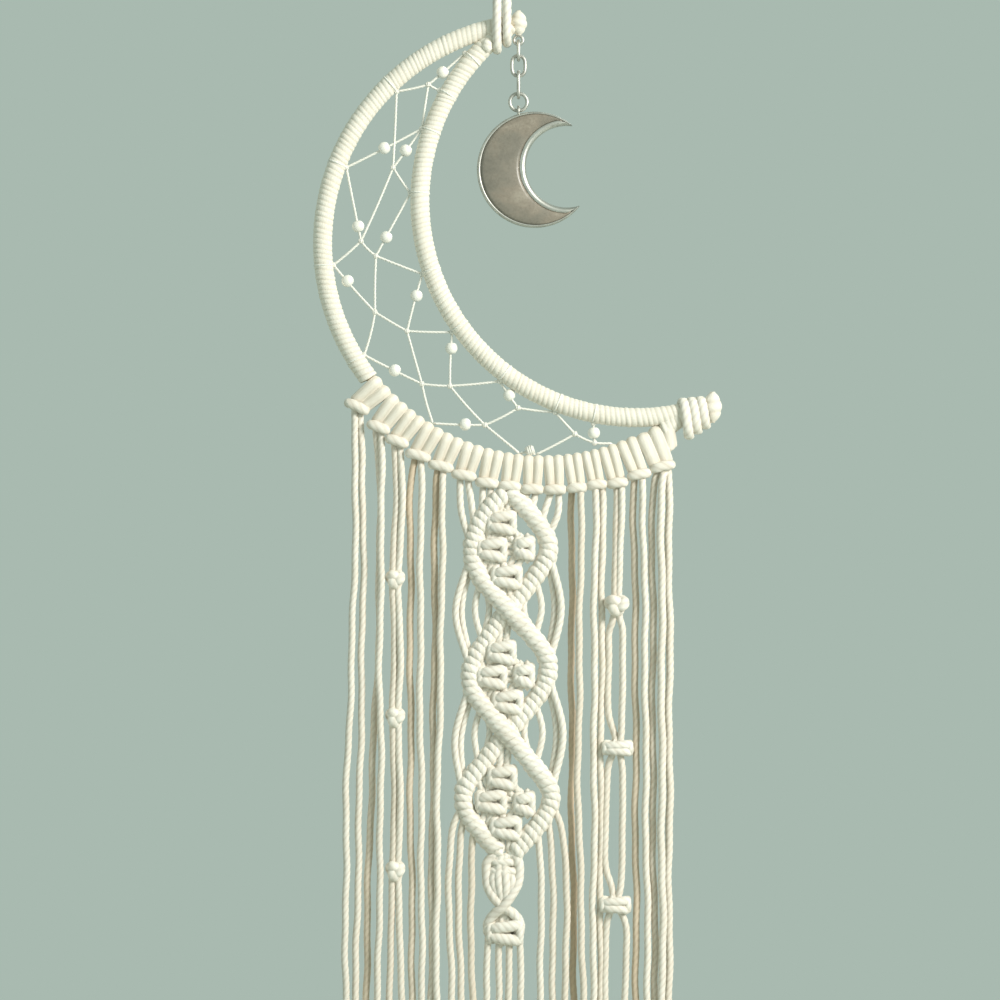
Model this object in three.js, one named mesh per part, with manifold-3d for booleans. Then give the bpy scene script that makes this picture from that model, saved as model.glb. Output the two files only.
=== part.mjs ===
// A crescent dreamcatcher with a macrame skirt: a wrapped moon-shaped hoop, a thread
// web with beads, thirty cords hung by lark's heads, a knotted middle panel, and a
// crescent charm on a short chain.
//
// Millimetres. +Z is up, +X is to the right seen from the front, and the front faces -Y.
// The origin is the top inside of the hanging loop, where a nail or hook carries it.

import * as THREE from 'three';
import { mergeVertices } from 'three/addons/utils/BufferGeometryUtils.js';
import Module from 'manifold-3d';

const wasm = await Module();
wasm.setup();

// Driving dimensions

const gap = 0.3;                 // between any two pieces
const cordWidth = 3.2;           // cotton cord, as a square section with the area of the round one
const frontDepth = -1.2;         // plane in which the cords and the panel hang

const hoop = {
  tubeRadius: 4.2,               // metal ring with its close wrapping
  bareRadius: 1.4,               // the ring alone, under the lark's heads
  neckRadius: 3.0,               // between the side horn and its knob
  outer: { x: 18.3, z: -150, radius: 99.5 },
  inner: { x: 60, z: -131, radius: 97.4 },
  sides: 8,
  degreesPerStep: 9,
};

const loop = {
  legSpacing: 3.6,               // between the middles of the two legs
  cordRadius: 1.7,
  eyeWidth: 9,                   // the opening at the top, where a nail goes
  eyeHeight: 17,
  footZ: -56,
};

// The wound end of a horn: half sizes of its lump, and its middle seen from the tip
const topKnob = { x: 3.4, z: 0.5, halfX: 3.9, halfZ: 5.4 };
const sideKnob = { x: 12.0, z: 2.5, halfX: 3.9, halfZ: 5.8 };

const heads = {
  wraps: 2,
  wrapReach: 4.2,                // from the middle of the ring to the crest of a wrap
  valleyDepth: 1.0,
  narrowing: 0.3,                // share of its width that a head loses down to its bar
  edgeAngle: 3.0,                // degrees from an end head's middle to its free side
  barRadius: 1.9,
  barY: -1.6,
  barTilt: 0.5,                  // share of the ring's slope
  outletAngle: 0.9,              // degrees from the middle of the head to each of its two cords
  outletRise: 2,                 // a cord starts this far above the middle of the bar
};
// Each lark's head: degrees round the outer circle, 0 at +X, and how far outside the ring its bar lies
const headPlaces = [
  { angle: -138.9, reach: 12.0 }, { angle: -132.0, reach: 11.6 }, { angle: -126.6, reach: 11.2 },
  { angle: -120.7, reach: 11.3 }, { angle: -114.8, reach: 10.8 }, { angle: -109.0, reach: 10.7 },
  { angle: -103.3, reach: 11.1 }, { angle: -98.0, reach: 10.7 }, { angle: -92.7, reach: 11.1 },
  { angle: -87.4, reach: 11.3 }, { angle: -82.2, reach: 11.4 }, { angle: -77.6, reach: 11.6 },
  { angle: -72.9, reach: 13.2 }, { angle: -67.5, reach: 12.9 }, { angle: -61.9, reach: 14.2 },
];

const hangs = { z1: -265, z2: -333, z3: -400, z4: -490 };    // heights at which a cord's place is given
const wrapSlack = 0.5;            // a faceted bore is a little wider than the round one
const turnThickness = 2.7;        // of a cord drawn tight round a horn
// The windings round the horns: their ends, the tubes' middle height there, and how far apart the tubes are
const loopWinding = {
  fromX: -3.9, toX: 2.7, fromZ: -55.9, toZ: -52.4, fromApart: 5.9, toApart: 1.6, turns: 2,
};
const sideWinding = {
  fromX: 79.6, toX: 90.2, fromZ: -228.2, toZ: -224.8, fromApart: 4.6, toApart: 0.8, turns: 3, endShare: 0.82,
};
const strandEnd = -640;
const strandSteps = 5;

// Cords beside the panel: the lark's head, the depth, and x at the four heights above
const leftStrands = [
  { head: 0, y: -1.9, x1: -66.2, x2: -67.8, x3: -70.3, x4: -70.7, end: 3 },
  { head: 0, y: 1.9, x1: -63.0, x2: -63.4, x3: -64.6, x4: -66.2, end: -2 },
  { head: 1, y: 1.9, x1: -55.8, x2: -57.2, x3: -58.8, x4: -61.6, end: 5 },
  { head: 1, y: -1.9, x1: -54.0, x2: -55.6, x3: -55.8, x4: -56.6, end: -4 },
  { head: 2, y: 1.9, x1: -46.8, x2: -48.6, x3: -48.8, x4: -51.6, end: 0 },
  { head: 2, y: -1.9, x1: -45.4, x2: -46.4, x3: -46.6, x4: -46.0, end: 4 },
  { head: 3, y: 1.2, x1: -41.6, x2: -41.6, x3: -41.6, x4: -40.8, end: -5 },
  { head: 3, y: -1.2, x1: -36.7, x2: -36.6, x3: -36.8, x4: -36.6, end: 2 },
  { head: 4, y: 1.5, x1: -30.4, x2: -30.8, x3: -31.6, x4: -32.2, end: -3 },
  { head: 4, y: -1.5, x1: -26.6, x2: -27.0, x3: -29.2, x4: -28.8, end: 3 },
];
const rightStrands = [
  { head: 10, y: 3.7, x1: 31.0, x2: 31.0, x3: 31.0, x4: 32.0, end: 2 },
  { head: 10, y: -1.4, x1: 35.1, x2: 34.4, x3: 33.8, x4: 36.0, end: -4 },
  { head: 11, y: -1.6, x1: 41.6, x2: 40.9, x3: 40.9, x4: 40.4, end: 4 },
  { head: 11, y: 2.4, x1: 45.0, x2: 44.6, x3: 44.2, x4: 43.7, end: 0 },
  { head: 12, y: 1.0, x1: 50.4, x2: 48.4, x3: 48.3, x4: 47.9, end: -3 },
  { head: 12, y: -1.0, x1: 53.6, x2: 54.4, x3: 54.0, x4: 54.4, end: 5 },
  { head: 13, y: 1.6, x1: 58.3, x2: 58.7, x3: 58.4, x4: 58.6, end: -2 },
  { head: 13, y: -1.6, x1: 62.8, x2: 62.8, x3: 61.8, x4: 62.2, end: 3 },
  { head: 14, y: 1.6, x1: 67.0, x2: 67.0, x3: 66.4, x4: 66.2, end: -4 },
  { head: 14, y: -1.9, x1: 71.0, x2: 71.2, x3: 70.4, x4: 70.6, end: 2 },
  { head: 14, y: 1.9, x1: 74.2, x2: 74.4, x3: 73.8, x4: 74.2, end: -1 },
];

// Knots tied in a pair of side cords: the lark's head of the pair, and the knot's place and size
const strandKnots = [
  { head: 2, x: -48.4, z: -301, width: 9.4, height: 9.4, y: -1.4, depth: 8.4 },
  { head: 2, x: -48.4, z: -363, width: 9.4, height: 10, y: -1.4, depth: 8.4 },
  { head: 2, x: -48.4, z: -432, width: 9.4, height: 10.4, y: -1.4, depth: 8.4 },
  { head: 12, x: 51.0, z: -312.5, width: 12, height: 8.6, y: -4.4, depth: 5.4 },
  { head: 12, x: 51.4, z: -376.8, width: 14.6, height: 6, y: -4.4, depth: 5.4 },
  { head: 12, x: 50.4, z: -447.2, width: 14.6, height: 7.4, y: -4.4, depth: 5.4 },
];

// The middle panel: a chain of three diamonds of knotted bars, four knots in each diamond
const panel = { firstHead: 5, lastHead: 9, barRadius: 4.2, ridgePitch: 7.4 };
const bars = [
  { x1: 0.7, z1: -261.8, x2: -13.6, z2: -285.2, y: -1.4 },
  { x1: 2.4, z1: -261.6, x2: 20.4, z2: -284.4, y: -1.0 },
  { x1: -13.2, z1: -294.4, x2: 19.6, z2: -335.4, y: -3.2 },
  { x1: 20.0, z1: -291.6, x2: -13.6, z2: -338.6, y: -0.6 },
  { x1: -13.4, z1: -351.4, x2: 21.0, z2: -393.4, y: -3.2 },
  { x1: 20.0, z1: -347.0, x2: -17.0, z2: -396.0, y: -0.6 },
  { x1: -17.2, z1: -403.6, x2: -1.2, z2: -425.0, y: -1.4 },
  { x1: 22.0, z1: -403.4, x2: 3.4, z2: -426.0, y: -1.0 },
];
const diamondKnots = [                           // top, left, right and bottom of each diamond
  { x: 0.4, z: -275.6 }, { x: -6.2, z: -288.2 }, { x: 9.8, z: -287.2, width: 9.5 }, { x: 3.2, z: -300.4 },
  { x: 0.4, z: -334.4 }, { x: -6.2, z: -344.6 }, { x: 9.6, z: -344.4, width: 9.5 }, { x: 3.6, z: -356.2 },
  { x: 1.0, z: -390.4 }, { x: -6.4, z: -400.6 }, { x: 9.8, z: -402.4, width: 9.5 }, { x: 2.2, z: -412.4 },
];
const diamondKnot = { width: 13, height: 11.4, depth: 8.4, ribs: 2 };
const endKnots = [
  { x: 0.2, z: -436.0, width: 18, height: 23 },
  { x: 0.6, z: -458.6, width: 19, height: 15.5 },
];
const crossings = [                              // from the top of the panel to the foot of its last diamond
  { x: 1.5, z: -264 }, { x: 1.6, z: -313.6 }, { x: 1.8, z: -370 }, { x: 1, z: -424.5 },
];
const waist = { x: 0.4, fromZ: -440, toZ: -458, width: 6 };
// Cords beside the crossings: x and z at the start, the middle and the end
const sideCords = [
  { x1: -15.4, z1: -293, xm: -21.4, zm: -316, x2: -15.6, z2: -339, y: -1.6 },
  { x1: -14.4, z1: -294, xm: -17.8, zm: -316, x2: -14.2, z2: -338, y: 1.2 },
  { x1: -9.4, z1: -299, xm: -12.6, zm: -315, x2: -9.0, z2: -330, y: -0.6 },
  { x1: 21.4, z1: -291, xm: 26.4, zm: -314, x2: 21.4, z2: -337, y: -1.6 },
  { x1: 20.2, z1: -292, xm: 22.6, zm: -314, x2: 19.8, z2: -337, y: 1.2 },
  { x1: 14.4, z1: -300, xm: 17.2, zm: -314, x2: 14.2, z2: -328, y: -0.6 },
  { x1: -15.4, z1: -350, xm: -21.8, zm: -373, x2: -18.6, z2: -396, y: -1.6 },
  { x1: -13.8, z1: -352, xm: -18.2, zm: -373, x2: -17.2, z2: -396, y: 1.2 },
  { x1: -9.6, z1: -357, xm: -12.8, zm: -371, x2: -10.6, z2: -386, y: -0.6 },
  { x1: 21.0, z1: -346, xm: 27.2, zm: -370, x2: 22.6, z2: -394, y: -1.6 },
  { x1: 20.0, z1: -347, xm: 23.2, zm: -370, x2: 21.0, z2: -394, y: 1.2 },
  { x1: 14.0, z1: -355, xm: 17.6, zm: -370, x2: 14.4, z2: -386, y: -0.6 },
];
// Cords that leave the panel: start, then x at the lowest named height
const panelEnds = [
  { x1: -18.4, z1: -402, x: -24.0, xm: -23.2, y: -1.0, end: 2 },
  { x1: -16.8, z1: -405, x: -19.8, xm: -19.0, y: 1.0, end: -4 },
  { x1: -13.0, z1: -411, x: -14.4, xm: -13.8, y: 0, end: 4 },
  { x1: -6.6, z1: -461, x: -7.8, xm: -7.6, y: 0, end: -2 },
  { x1: -1.8, z1: -461, x: -2.2, xm: -2.0, y: 0.4, end: 5 },
  { x1: 2.8, z1: -461, x: 2.8, xm: 2.8, y: -0.4, end: -3 },
  { x1: 7.6, z1: -461, x: 8.2, xm: 7.8, y: 0, end: 1 },
  { x1: 15.4, z1: -411, x: 16.8, xm: 17.0, y: 0, end: -3 },
  { x1: 19.8, z1: -406, x: 22.0, xm: 22.6, y: 1.0, end: 3 },
  { x1: 22.4, z1: -402, x: 27.8, xm: 28.2, y: -1.4, end: -2 },
];

// The web of thread. An anchor lies beside the hoop at an angle round its own circle
const thread = { radius: 0.62, knotRadius: 1.0, anchorReach: 5.6 };
const outerAnchors = { o1: 134.1, o2: 159, o3: 185.9, o4: 211.9, o5: 238.4, o6: 263.4, o7: 267.9, o8: 289 };
const innerAnchors = {
  i1: 139.2, i2: 150.7, i3: 161.3, i4: 178, i5: 198.8, i6: 215.4, i7: 232.8, i8: 248.9, i9: 259,
};
const webKnots = {
  k1: { x: -49.5, z: -116.0 }, k2: { x: -63.9, z: -149.0 }, k3: { x: -57.2, z: -155.7 },
  k4: { x: -57.6, z: -181.0 }, k5: { x: -43.2, z: -189.5 }, k6: { x: -36.5, z: -213.3 },
  k7: { x: -23.9, z: -214.2 }, k8: { x: -8.1, z: -231.8 }, k9: { x: 6.8, z: -224.1 },
  k10: { x: 32.4, z: -235.8 }, k11: { x: 41.2, z: -239.8 }, k12: { x: 12.1, z: -243.2 },
  k13: { x: -33.6, z: -78.6 },
};
const webLinks = [
  'i1 k13', 'k13 i2', 'k13 o1', 'o1 k1', 'k13 i3', 'i3 o2', 'i3 k1', 'k1 i4', 'k1 k2', 'o2 k2',
  'k2 o3', 'k2 k3', 'k3 i5', 'i4 k3', 'k3 k4', 'o3 k4', 'k4 k5', 'k5 i6', 'i5 k5', 'k4 o4', 'o4 k6', 'k5 k6', 'k6 k7',
  'k6 o5', 'i6 k7', 'k7 i7', 'k7 k8', 'k8 o6', 'o5 k8', 'k8 k9', 'i7 k9', 'k9 i8', 'i8 k10',
  'o6 k12', 'k12 o7', 'o7 k10', 'k10 k11', 'i9 k11', 'k11 o8',
];
// Beads on the threads: the link, and how far along it
const bead = { radius: 2.8, holeRadius: 1.05, halfLength: 2.3 };
const beads = [
  { link: 'i1 k13', at: 0.61 }, { link: 'i3 o2', at: 0.5 }, { link: 'i3 k1', at: 0.56 },
  { link: 'o2 k2', at: 0.8 }, { link: 'i4 k3', at: 0.7 }, { link: 'o3 k4', at: 0.34 },
  { link: 'i5 k5', at: 0.38 }, { link: 'i6 k7', at: 0.3 }, { link: 'o4 k6', at: 0.53 },
  { link: 'i7 k9', at: 0.52 }, { link: 'o5 k8', at: 0.62 }, { link: 'i9 k11', at: 0.5 },
];

// The chain and the charm
const wire = 0.8;                                 // radius of a link's wire
const link = { width: 4.6, tall: 8.5, longTall: 11.6, faceWidth: 6.0, faceTall: 9.2 };
const ringRadius = 3.9;
const smallEye = { radius: 2.0, wire: 0.65 };
const chain = { x: 7.0, z: -58.6 };               // middle of the eye under the horn
const charm = {
  outerRadius: 26, innerRadius: 18.5,             // the two circles of the crescent
  innerShiftX: 14.4, innerShiftZ: 1.4,            // from the outer circle's middle to the inner one's
  thickness: 4.2, rim: 2.4, outerRim: 1.4, stoneProud: 0.5,
  middleX: 7.3,                                   // outer circle's middle, right of the chain
  middleY: -0.25,                                 // the plate is set forward so that it hangs plumb
};

// Geometry helpers

const signedVolume = (positions, index) => {
  let total = 0;
  const corner = (i) => new THREE.Vector3().fromArray(positions, 3 * i);
  for (let i = 0; i < index.length; i += 3) {
    total += corner(index[i]).dot(corner(index[i + 1]).cross(corner(index[i + 2])));
  }
  return total;
};

// A closed mesh as a solid: shared vertices merged, flat triangles dropped, faces outwards
const toSolid = (geometry) => {
  const bare = geometry.clone();
  bare.deleteAttribute('normal');
  bare.deleteAttribute('uv');
  const merged = mergeVertices(bare, 1e-4);
  const positions = merged.attributes.position.array;
  let triangles = [];
  const index = merged.index.array;
  for (let i = 0; i < index.length; i += 3) {
    const [a, b, c] = [index[i], index[i + 1], index[i + 2]];
    if (a !== b && b !== c && c !== a) triangles.push(a, b, c);
  }
  if (signedVolume(positions, triangles) < 0) triangles = triangles.reverse();
  return new wasm.Manifold(new wasm.Mesh({
    numProp: 3,
    vertProperties: new Float32Array(positions),
    triVerts: new Uint32Array(triangles),
  }));
};

const join = (geometries) => geometries.map(toSolid).reduce((whole, piece) => whole.add(piece));

const toGeometry = (solid) => {
  const mesh = solid.getMesh();
  const geometry = new THREE.BufferGeometry();
  geometry.setAttribute('position', new THREE.BufferAttribute(new Float32Array(mesh.vertProperties), 3));
  geometry.setIndex(new THREE.BufferAttribute(new Uint32Array(mesh.triVerts), 1));
  geometry.computeVertexNormals();
  return geometry;
};

// Moves every point of a geometry by a function of its place
const reshape = (geometry, move) => {
  const position = geometry.attributes.position;
  const point = new THREE.Vector3();
  for (let i = 0; i < position.count; i += 1) {
    point.fromBufferAttribute(position, i);
    move(point);
    position.setXYZ(i, point.x, point.y, point.z);
  }
  return geometry;
};

const place = (geometry, from, to) => {           // turns the Y axis onto the line, at its middle
  const start = new THREE.Vector3(...from);
  const end = new THREE.Vector3(...to);
  const turn = new THREE.Quaternion().setFromUnitVectors(
    new THREE.Vector3(0, 1, 0), end.clone().sub(start).normalize());
  geometry.applyQuaternion(turn);
  const middle = start.add(end).multiplyScalar(0.5);
  return geometry.translate(middle.x, middle.y, middle.z);
};

// A regular section for a cord or a thread: its sides, and the radius to its corners
const polygon = (sides, radius) => {
  const corners = Array.from({ length: sides }, (_, i) => 2 * Math.PI * (i + 0.5) / sides);
  const points = corners.map((angle) => [radius * Math.cos(angle), radius * Math.sin(angle)]);
  return new THREE.Shape(points.map(([x, y]) => new THREE.Vector2(x, y)));
};

const along = (shape, curve, steps) =>
  new THREE.ExtrudeGeometry(shape, { extrudePath: curve, steps, bevelEnabled: false });

const smooth = (points) => new THREE.CatmullRomCurve3(points.map((p) => new THREE.Vector3(...p)));

const strand = (points, steps = strandSteps, width = cordWidth) =>
  along(polygon(4, width / Math.SQRT2), smooth(points), steps);

const onCircle = (circle, degrees, reach = 0) => {
  const angle = THREE.MathUtils.degToRad(degrees);
  const radius = circle.radius + reach;
  return [circle.x + radius * Math.cos(angle), 0, circle.z + radius * Math.sin(angle)];
};

// The angles at which the two circles of the hoop cross, seen from one of them
const crossingAngles = (circle, other) => {
  const dx = other.x - circle.x;
  const dz = other.z - circle.z;
  const apart = Math.hypot(dx, dz);
  const towards = THREE.MathUtils.radToDeg(Math.atan2(dz, dx));
  const cosine = (circle.radius ** 2 - other.radius ** 2 + apart ** 2) / (2 * circle.radius * apart);
  const spread = THREE.MathUtils.radToDeg(Math.acos(cosine));
  return [towards + spread, towards + 360 - spread];
};

// A tube along the part of a circle between two angles
const arcTube = (circle, [fromDegrees, toDegrees], radius = hoop.tubeRadius, step = hoop.degreesPerStep) => {
  const curve = new THREE.Curve();
  curve.getPoint = (t, target = new THREE.Vector3()) =>
    target.set(...onCircle(circle, fromDegrees + t * (toDegrees - fromDegrees)));
  const steps = Math.round(Math.abs(toDegrees - fromDegrees) / step);
  return along(polygon(hoop.sides, radius), curve, steps);
};

const outerSweep = () => crossingAngles(hoop.outer, hoop.inner);
const innerSweep = () => {
  const [upper, lower] = crossingAngles(hoop.inner, hoop.outer);
  return [lower - 360, upper];
};

// A ridged profile from -half to +half: a crest for each turn, a valley between two turns
const ridges = (half, turns, crest, valley) => {
  const points = [[valley, -half]];
  for (let turn = 0; turn < turns; turn += 1) {
    const start = -half + 2 * half * turn / turns;
    points.push([crest, start + half / turns]);
    points.push([valley, start + 2 * half / turns]);
  }
  return points;
};

const turned = (points, segments) =>
  new THREE.LatheGeometry(points.map(([radius, height]) => new THREE.Vector2(radius, height)),
    segments, Math.PI / segments);

// A ridged sleeve about the Y axis with an open bore
const ridgedSleeve = (half, turns, bore, crest, valley, segments = 8) => {
  const outside = ridges(half, turns, crest, valley);
  return turned([...outside, [bore, half], [bore, -half], outside[0]], segments);
};

// A ridged rod about the Y axis with closed ends
const ridgedRod = (half, turns, crest, valley, segments = 6) =>
  turned([[0, -half], ...ridges(half, turns, crest, valley), [0, half]], segments);

// A flattened knot with ribs across it, standing along Z
const knotLump = (knot, y = frontDepth) => {
  const { x, z, width, height, depth, ribs } = { ...diamondKnot, ...knot };
  const half = width / 2;
  const body = ridges(0.42 * height, ribs, half, 0.82 * half);
  const lump = turned([[0, -height / 2], ...body, [0, height / 2]], 6);
  lump.scale(1, 1, depth / width);
  lump.rotateX(Math.PI / 2);
  return lump.translate(x, y, z);
};

// A ring or an oval link of wire in the XZ plane: a torus pulled apart along Z
const wireLoop = (width, tall, radius, segments = 12) => {
  const geometry = new THREE.TorusGeometry(width / 2, radius, 5, segments);
  geometry.rotateZ(Math.PI / segments);
  geometry.rotateX(Math.PI / 2);
  const stretch = (tall - width) / 2;
  return reshape(geometry, (p) => { p.z += Math.sign(p.z) * stretch; });
};

const material = (colour, roughness, metalness = 0) =>
  new THREE.MeshStandardMaterial({ color: colour, roughness, metalness });

const cotton = () => material('#efe9d8', 0.9);
const threadWhite = () => material('#f4f1e6', 0.8);
const beadWhite = () => material('#f3f1ea', 0.35);
const silver = () => material('#b9bcbb', 0.35, 1);
const stone = () => material('#8d8373', 0.55);

const part = new THREE.Group();
const addMesh = (name, geometry, look) => {
  const mesh = new THREE.Mesh(geometry, look);
  mesh.name = name;
  part.add(mesh);
  return mesh;
};

// The hoop: two arcs that run together in two horns, a knob on each, an eye for the chain

const buildHoop = () => {
  const { outer, inner, bareRadius, neckRadius, tubeRadius } = hoop;
  const sweep = outerSweep();
  const [topTip, sideTip] = sweep.map((degrees) => onCircle(outer, degrees));
  const knob = ([x, , z], lump) => new THREE.SphereGeometry(1, 8, 6)
    .scale(lump.halfX, tubeRadius, lump.halfZ).translate(x + lump.x, 0, z + lump.z);
  const sideMiddle = [sideTip[0] + sideKnob.x, 0, sideTip[2] + sideKnob.z];
  const neckLength = Math.hypot(sideKnob.x, sideKnob.z) + 4;
  const neck = place(new THREE.CylinderGeometry(neckRadius, neckRadius, neckLength, 8), sideTip, sideMiddle);
  const eye = wireLoop(2 * smallEye.radius, 2 * smallEye.radius, smallEye.wire, 10)
    .translate(chain.x, 0, chain.z);
  const stem = place(new THREE.CylinderGeometry(0.8, 0.8, 5, 6),
    [chain.x, 0, chain.z + 2], [chain.x, 0, chain.z + 7]);
  const bareFrom = 360 + headEdges(0)[0] - headGapAngle();
  const bareTo = 360 + headEdges(lastHead)[1] + headGapAngle();
  return toGeometry(join([
    arcTube(outer, [sweep[0], bareFrom]), arcTube(outer, [bareFrom - 1, bareTo + 1], bareRadius, 3),
    arcTube(outer, [bareTo, sweep[1]]), arcTube(inner, innerSweep()),
    knob(topTip, topKnob), knob(sideTip, sideKnob), neck, eye, stem,
  ]));
};

// A ridged sleeve wound round a horn: its ends are upright, its bore follows the two tubes
const buildHornWrap = ({ fromX, toX, fromZ, toZ, fromApart, toApart, turns, endShare = 1 }) => {
  const half = (toX - fromX) / 2;
  const bore = hoop.tubeRadius + gap + wrapSlack;
  const crest = bore + turnThickness;
  const sleeve = ridgedSleeve(half, turns, bore, crest, crest - 0.3 * turnThickness);
  sleeve.rotateZ(-Math.PI / 2);
  return reshape(sleeve, (p) => {
    const share = (p.x + half) / (2 * half);
    const apart = fromApart + share * (toApart - fromApart);
    const narrower = 1 + share * (endShare - 1);
    p.y *= narrower;
    p.z = narrower * p.z + Math.sign(p.z) * apart / 2 + fromZ + share * (toZ - fromZ);
    p.x += fromX + half;
  });
};

// The hanging loop: a doubled cord that is hitched round the top horn
const buildLoop = () => {
  const { legSpacing, cordRadius, eyeWidth, eyeHeight, footZ } = loop;
  const leg = legSpacing / 2;
  const hitchY = -(hoop.tubeRadius + gap + wrapSlack + cordRadius);
  const side = (sign) => [
    [sign * leg, hitchY, footZ],
    [sign * leg, hitchY, -44],
    [sign * leg, -2.6, -36],
    [sign * leg, 0, -28],
    [sign * (leg + 0.6), 0, -eyeHeight],
    [sign * eyeWidth / 2, 0, -eyeHeight / 2.6],
  ];
  const points = [...side(-1), [0, 0, cordRadius], ...side(1).reverse()];
  const section = new THREE.Shape().absarc(0, 0, cordRadius, 0, 2 * Math.PI, false);
  const cord = new THREE.ExtrudeGeometry(section, { extrudePath: smooth(points), steps: 26, curveSegments: 3 });
  return toGeometry(join([buildHornWrap(loopWinding), cord]));
};

// A lark's head: ridged wraps bent round the bare ring, drawn down to a bar outside it
const lastHead = headPlaces.length - 1;
const insideShare = { [lastHead]: 0.6 };          // the wraps are pressed thin where the two arcs meet
const headGapAngle = () => THREE.MathUtils.radToDeg(1.2 * gap / hoop.outer.radius);

// The two sides of a head: half way to its neighbours, or a set angle where it has none
const headEdges = (number) => {
  const { angle } = headPlaces[number];
  const before = number === 0 ? angle - heads.edgeAngle : (angle + headPlaces[number - 1].angle) / 2;
  const after = number === lastHead ? angle + heads.edgeAngle : (angle + headPlaces[number + 1].angle) / 2;
  return [before, after];
};

const headPieces = (number) => {
  const { outer } = hoop;
  const { angle: barAngle, reach } = headPlaces[number];
  const [before, after] = headEdges(number).map(THREE.MathUtils.degToRad);
  const middle = (before + after) / 2;
  const barMiddle = THREE.MathUtils.degToRad(barAngle);
  const halfAngle = (after - before) / 2 - 0.6 * gap / (outer.radius - heads.wrapReach);
  const half = outer.radius * halfAngle;
  const barHalf = (outer.radius + reach) * Math.min(barMiddle - before, after - barMiddle) - gap;
  const bore = (hoop.bareRadius + 1.2 * gap) / Math.cos(Math.PI / 6) + 0.1;
  const droop = (reach - 0.4 * heads.barRadius) / (heads.wrapReach * Math.cos(Math.PI / 6));
  const sleeve = ridgedSleeve(half, heads.wraps, bore, heads.wrapReach, heads.wrapReach - heads.valleyDepth, 6);
  reshape(sleeve, (p) => {
    if (Math.hypot(p.x, p.z) > bore + 0.1) p.x *= p.x > 0 ? droop : insideShare[number] ?? 1;
    const low = Math.max(0, p.x) / reach;
    const sideways = p.y / half * halfAngle * (1 - heads.narrowing * low);
    const angle = middle + low * (barMiddle - middle) + sideways;
    const radius = outer.radius + p.x;
    p.set(outer.x + radius * Math.cos(angle), p.z, outer.z + radius * Math.sin(angle));
  });
  const barEnd = (side) => [[heads.barRadius, 0.6 * side * barHalf], [0, side * barHalf]];
  const bar = turned([...barEnd(-1).reverse(), ...barEnd(1)], 6);
  const tilt = heads.barTilt * (barMiddle + Math.PI / 2);
  const [x, , z] = onCircle(outer, barAngle, reach);
  bar.rotateZ(-Math.PI / 2).rotateY(-tilt).translate(x, heads.barY, z);
  return [sleeve, bar];
};

// Where a cord starts above the bar: side -1 is towards -X
const headOutlet = (number, side, y) => {
  const { angle, reach } = headPlaces[number];
  const [x, , z] = onCircle(hoop.outer, angle + side * heads.outletAngle, reach);
  return [x, 0.4 * y + 0.6 * frontDepth, z + heads.outletRise];
};

// A pair of cords that hangs from one lark's head, with any knots tied in it
const buildPair = (number, strands) => {
  const knots = strandKnots.filter((knot) => knot.head === number);
  const cords = strands.map((row, order) => {
    const side = [-1, 1, 1][order];
    const hang = [
      [row.x1, hangs.z1], [row.x2, hangs.z2], [row.x3, hangs.z3], [row.x4, hangs.z4],
    ].filter(([, z]) => knots.every((knot) => Math.abs(knot.z - z) > 14));
    const tied = knots.map((knot) => [knot.x + (order === 0 ? -1 : 1) * 1.2, knot.z, Math.max(knot.y, -2.6)]);
    const route = [...hang, ...tied].sort((a, b) => b[1] - a[1])
      .map(([x, z, y]) => [x, y ?? row.y + frontDepth, z]);
    const last = route[route.length - 1];
    route.push([last[0], last[1], strandEnd + row.end]);
    return strand([headOutlet(number, side, row.y), ...route], strandSteps + knots.length);
  });
  const lumps = knots.map((knot) => knotLump(knot, knot.y));
  const pair = join([...headPieces(number), ...cords, ...lumps]);
  if (number !== lastHead) return toGeometry(pair);
  const innerArc = toSolid(arcTube(hoop.inner, innerSweep(), hoop.tubeRadius + 1.2 * gap));
  return toGeometry(pair.subtract(innerArc));     // the last wraps have no room beside the inner arc
};

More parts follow.
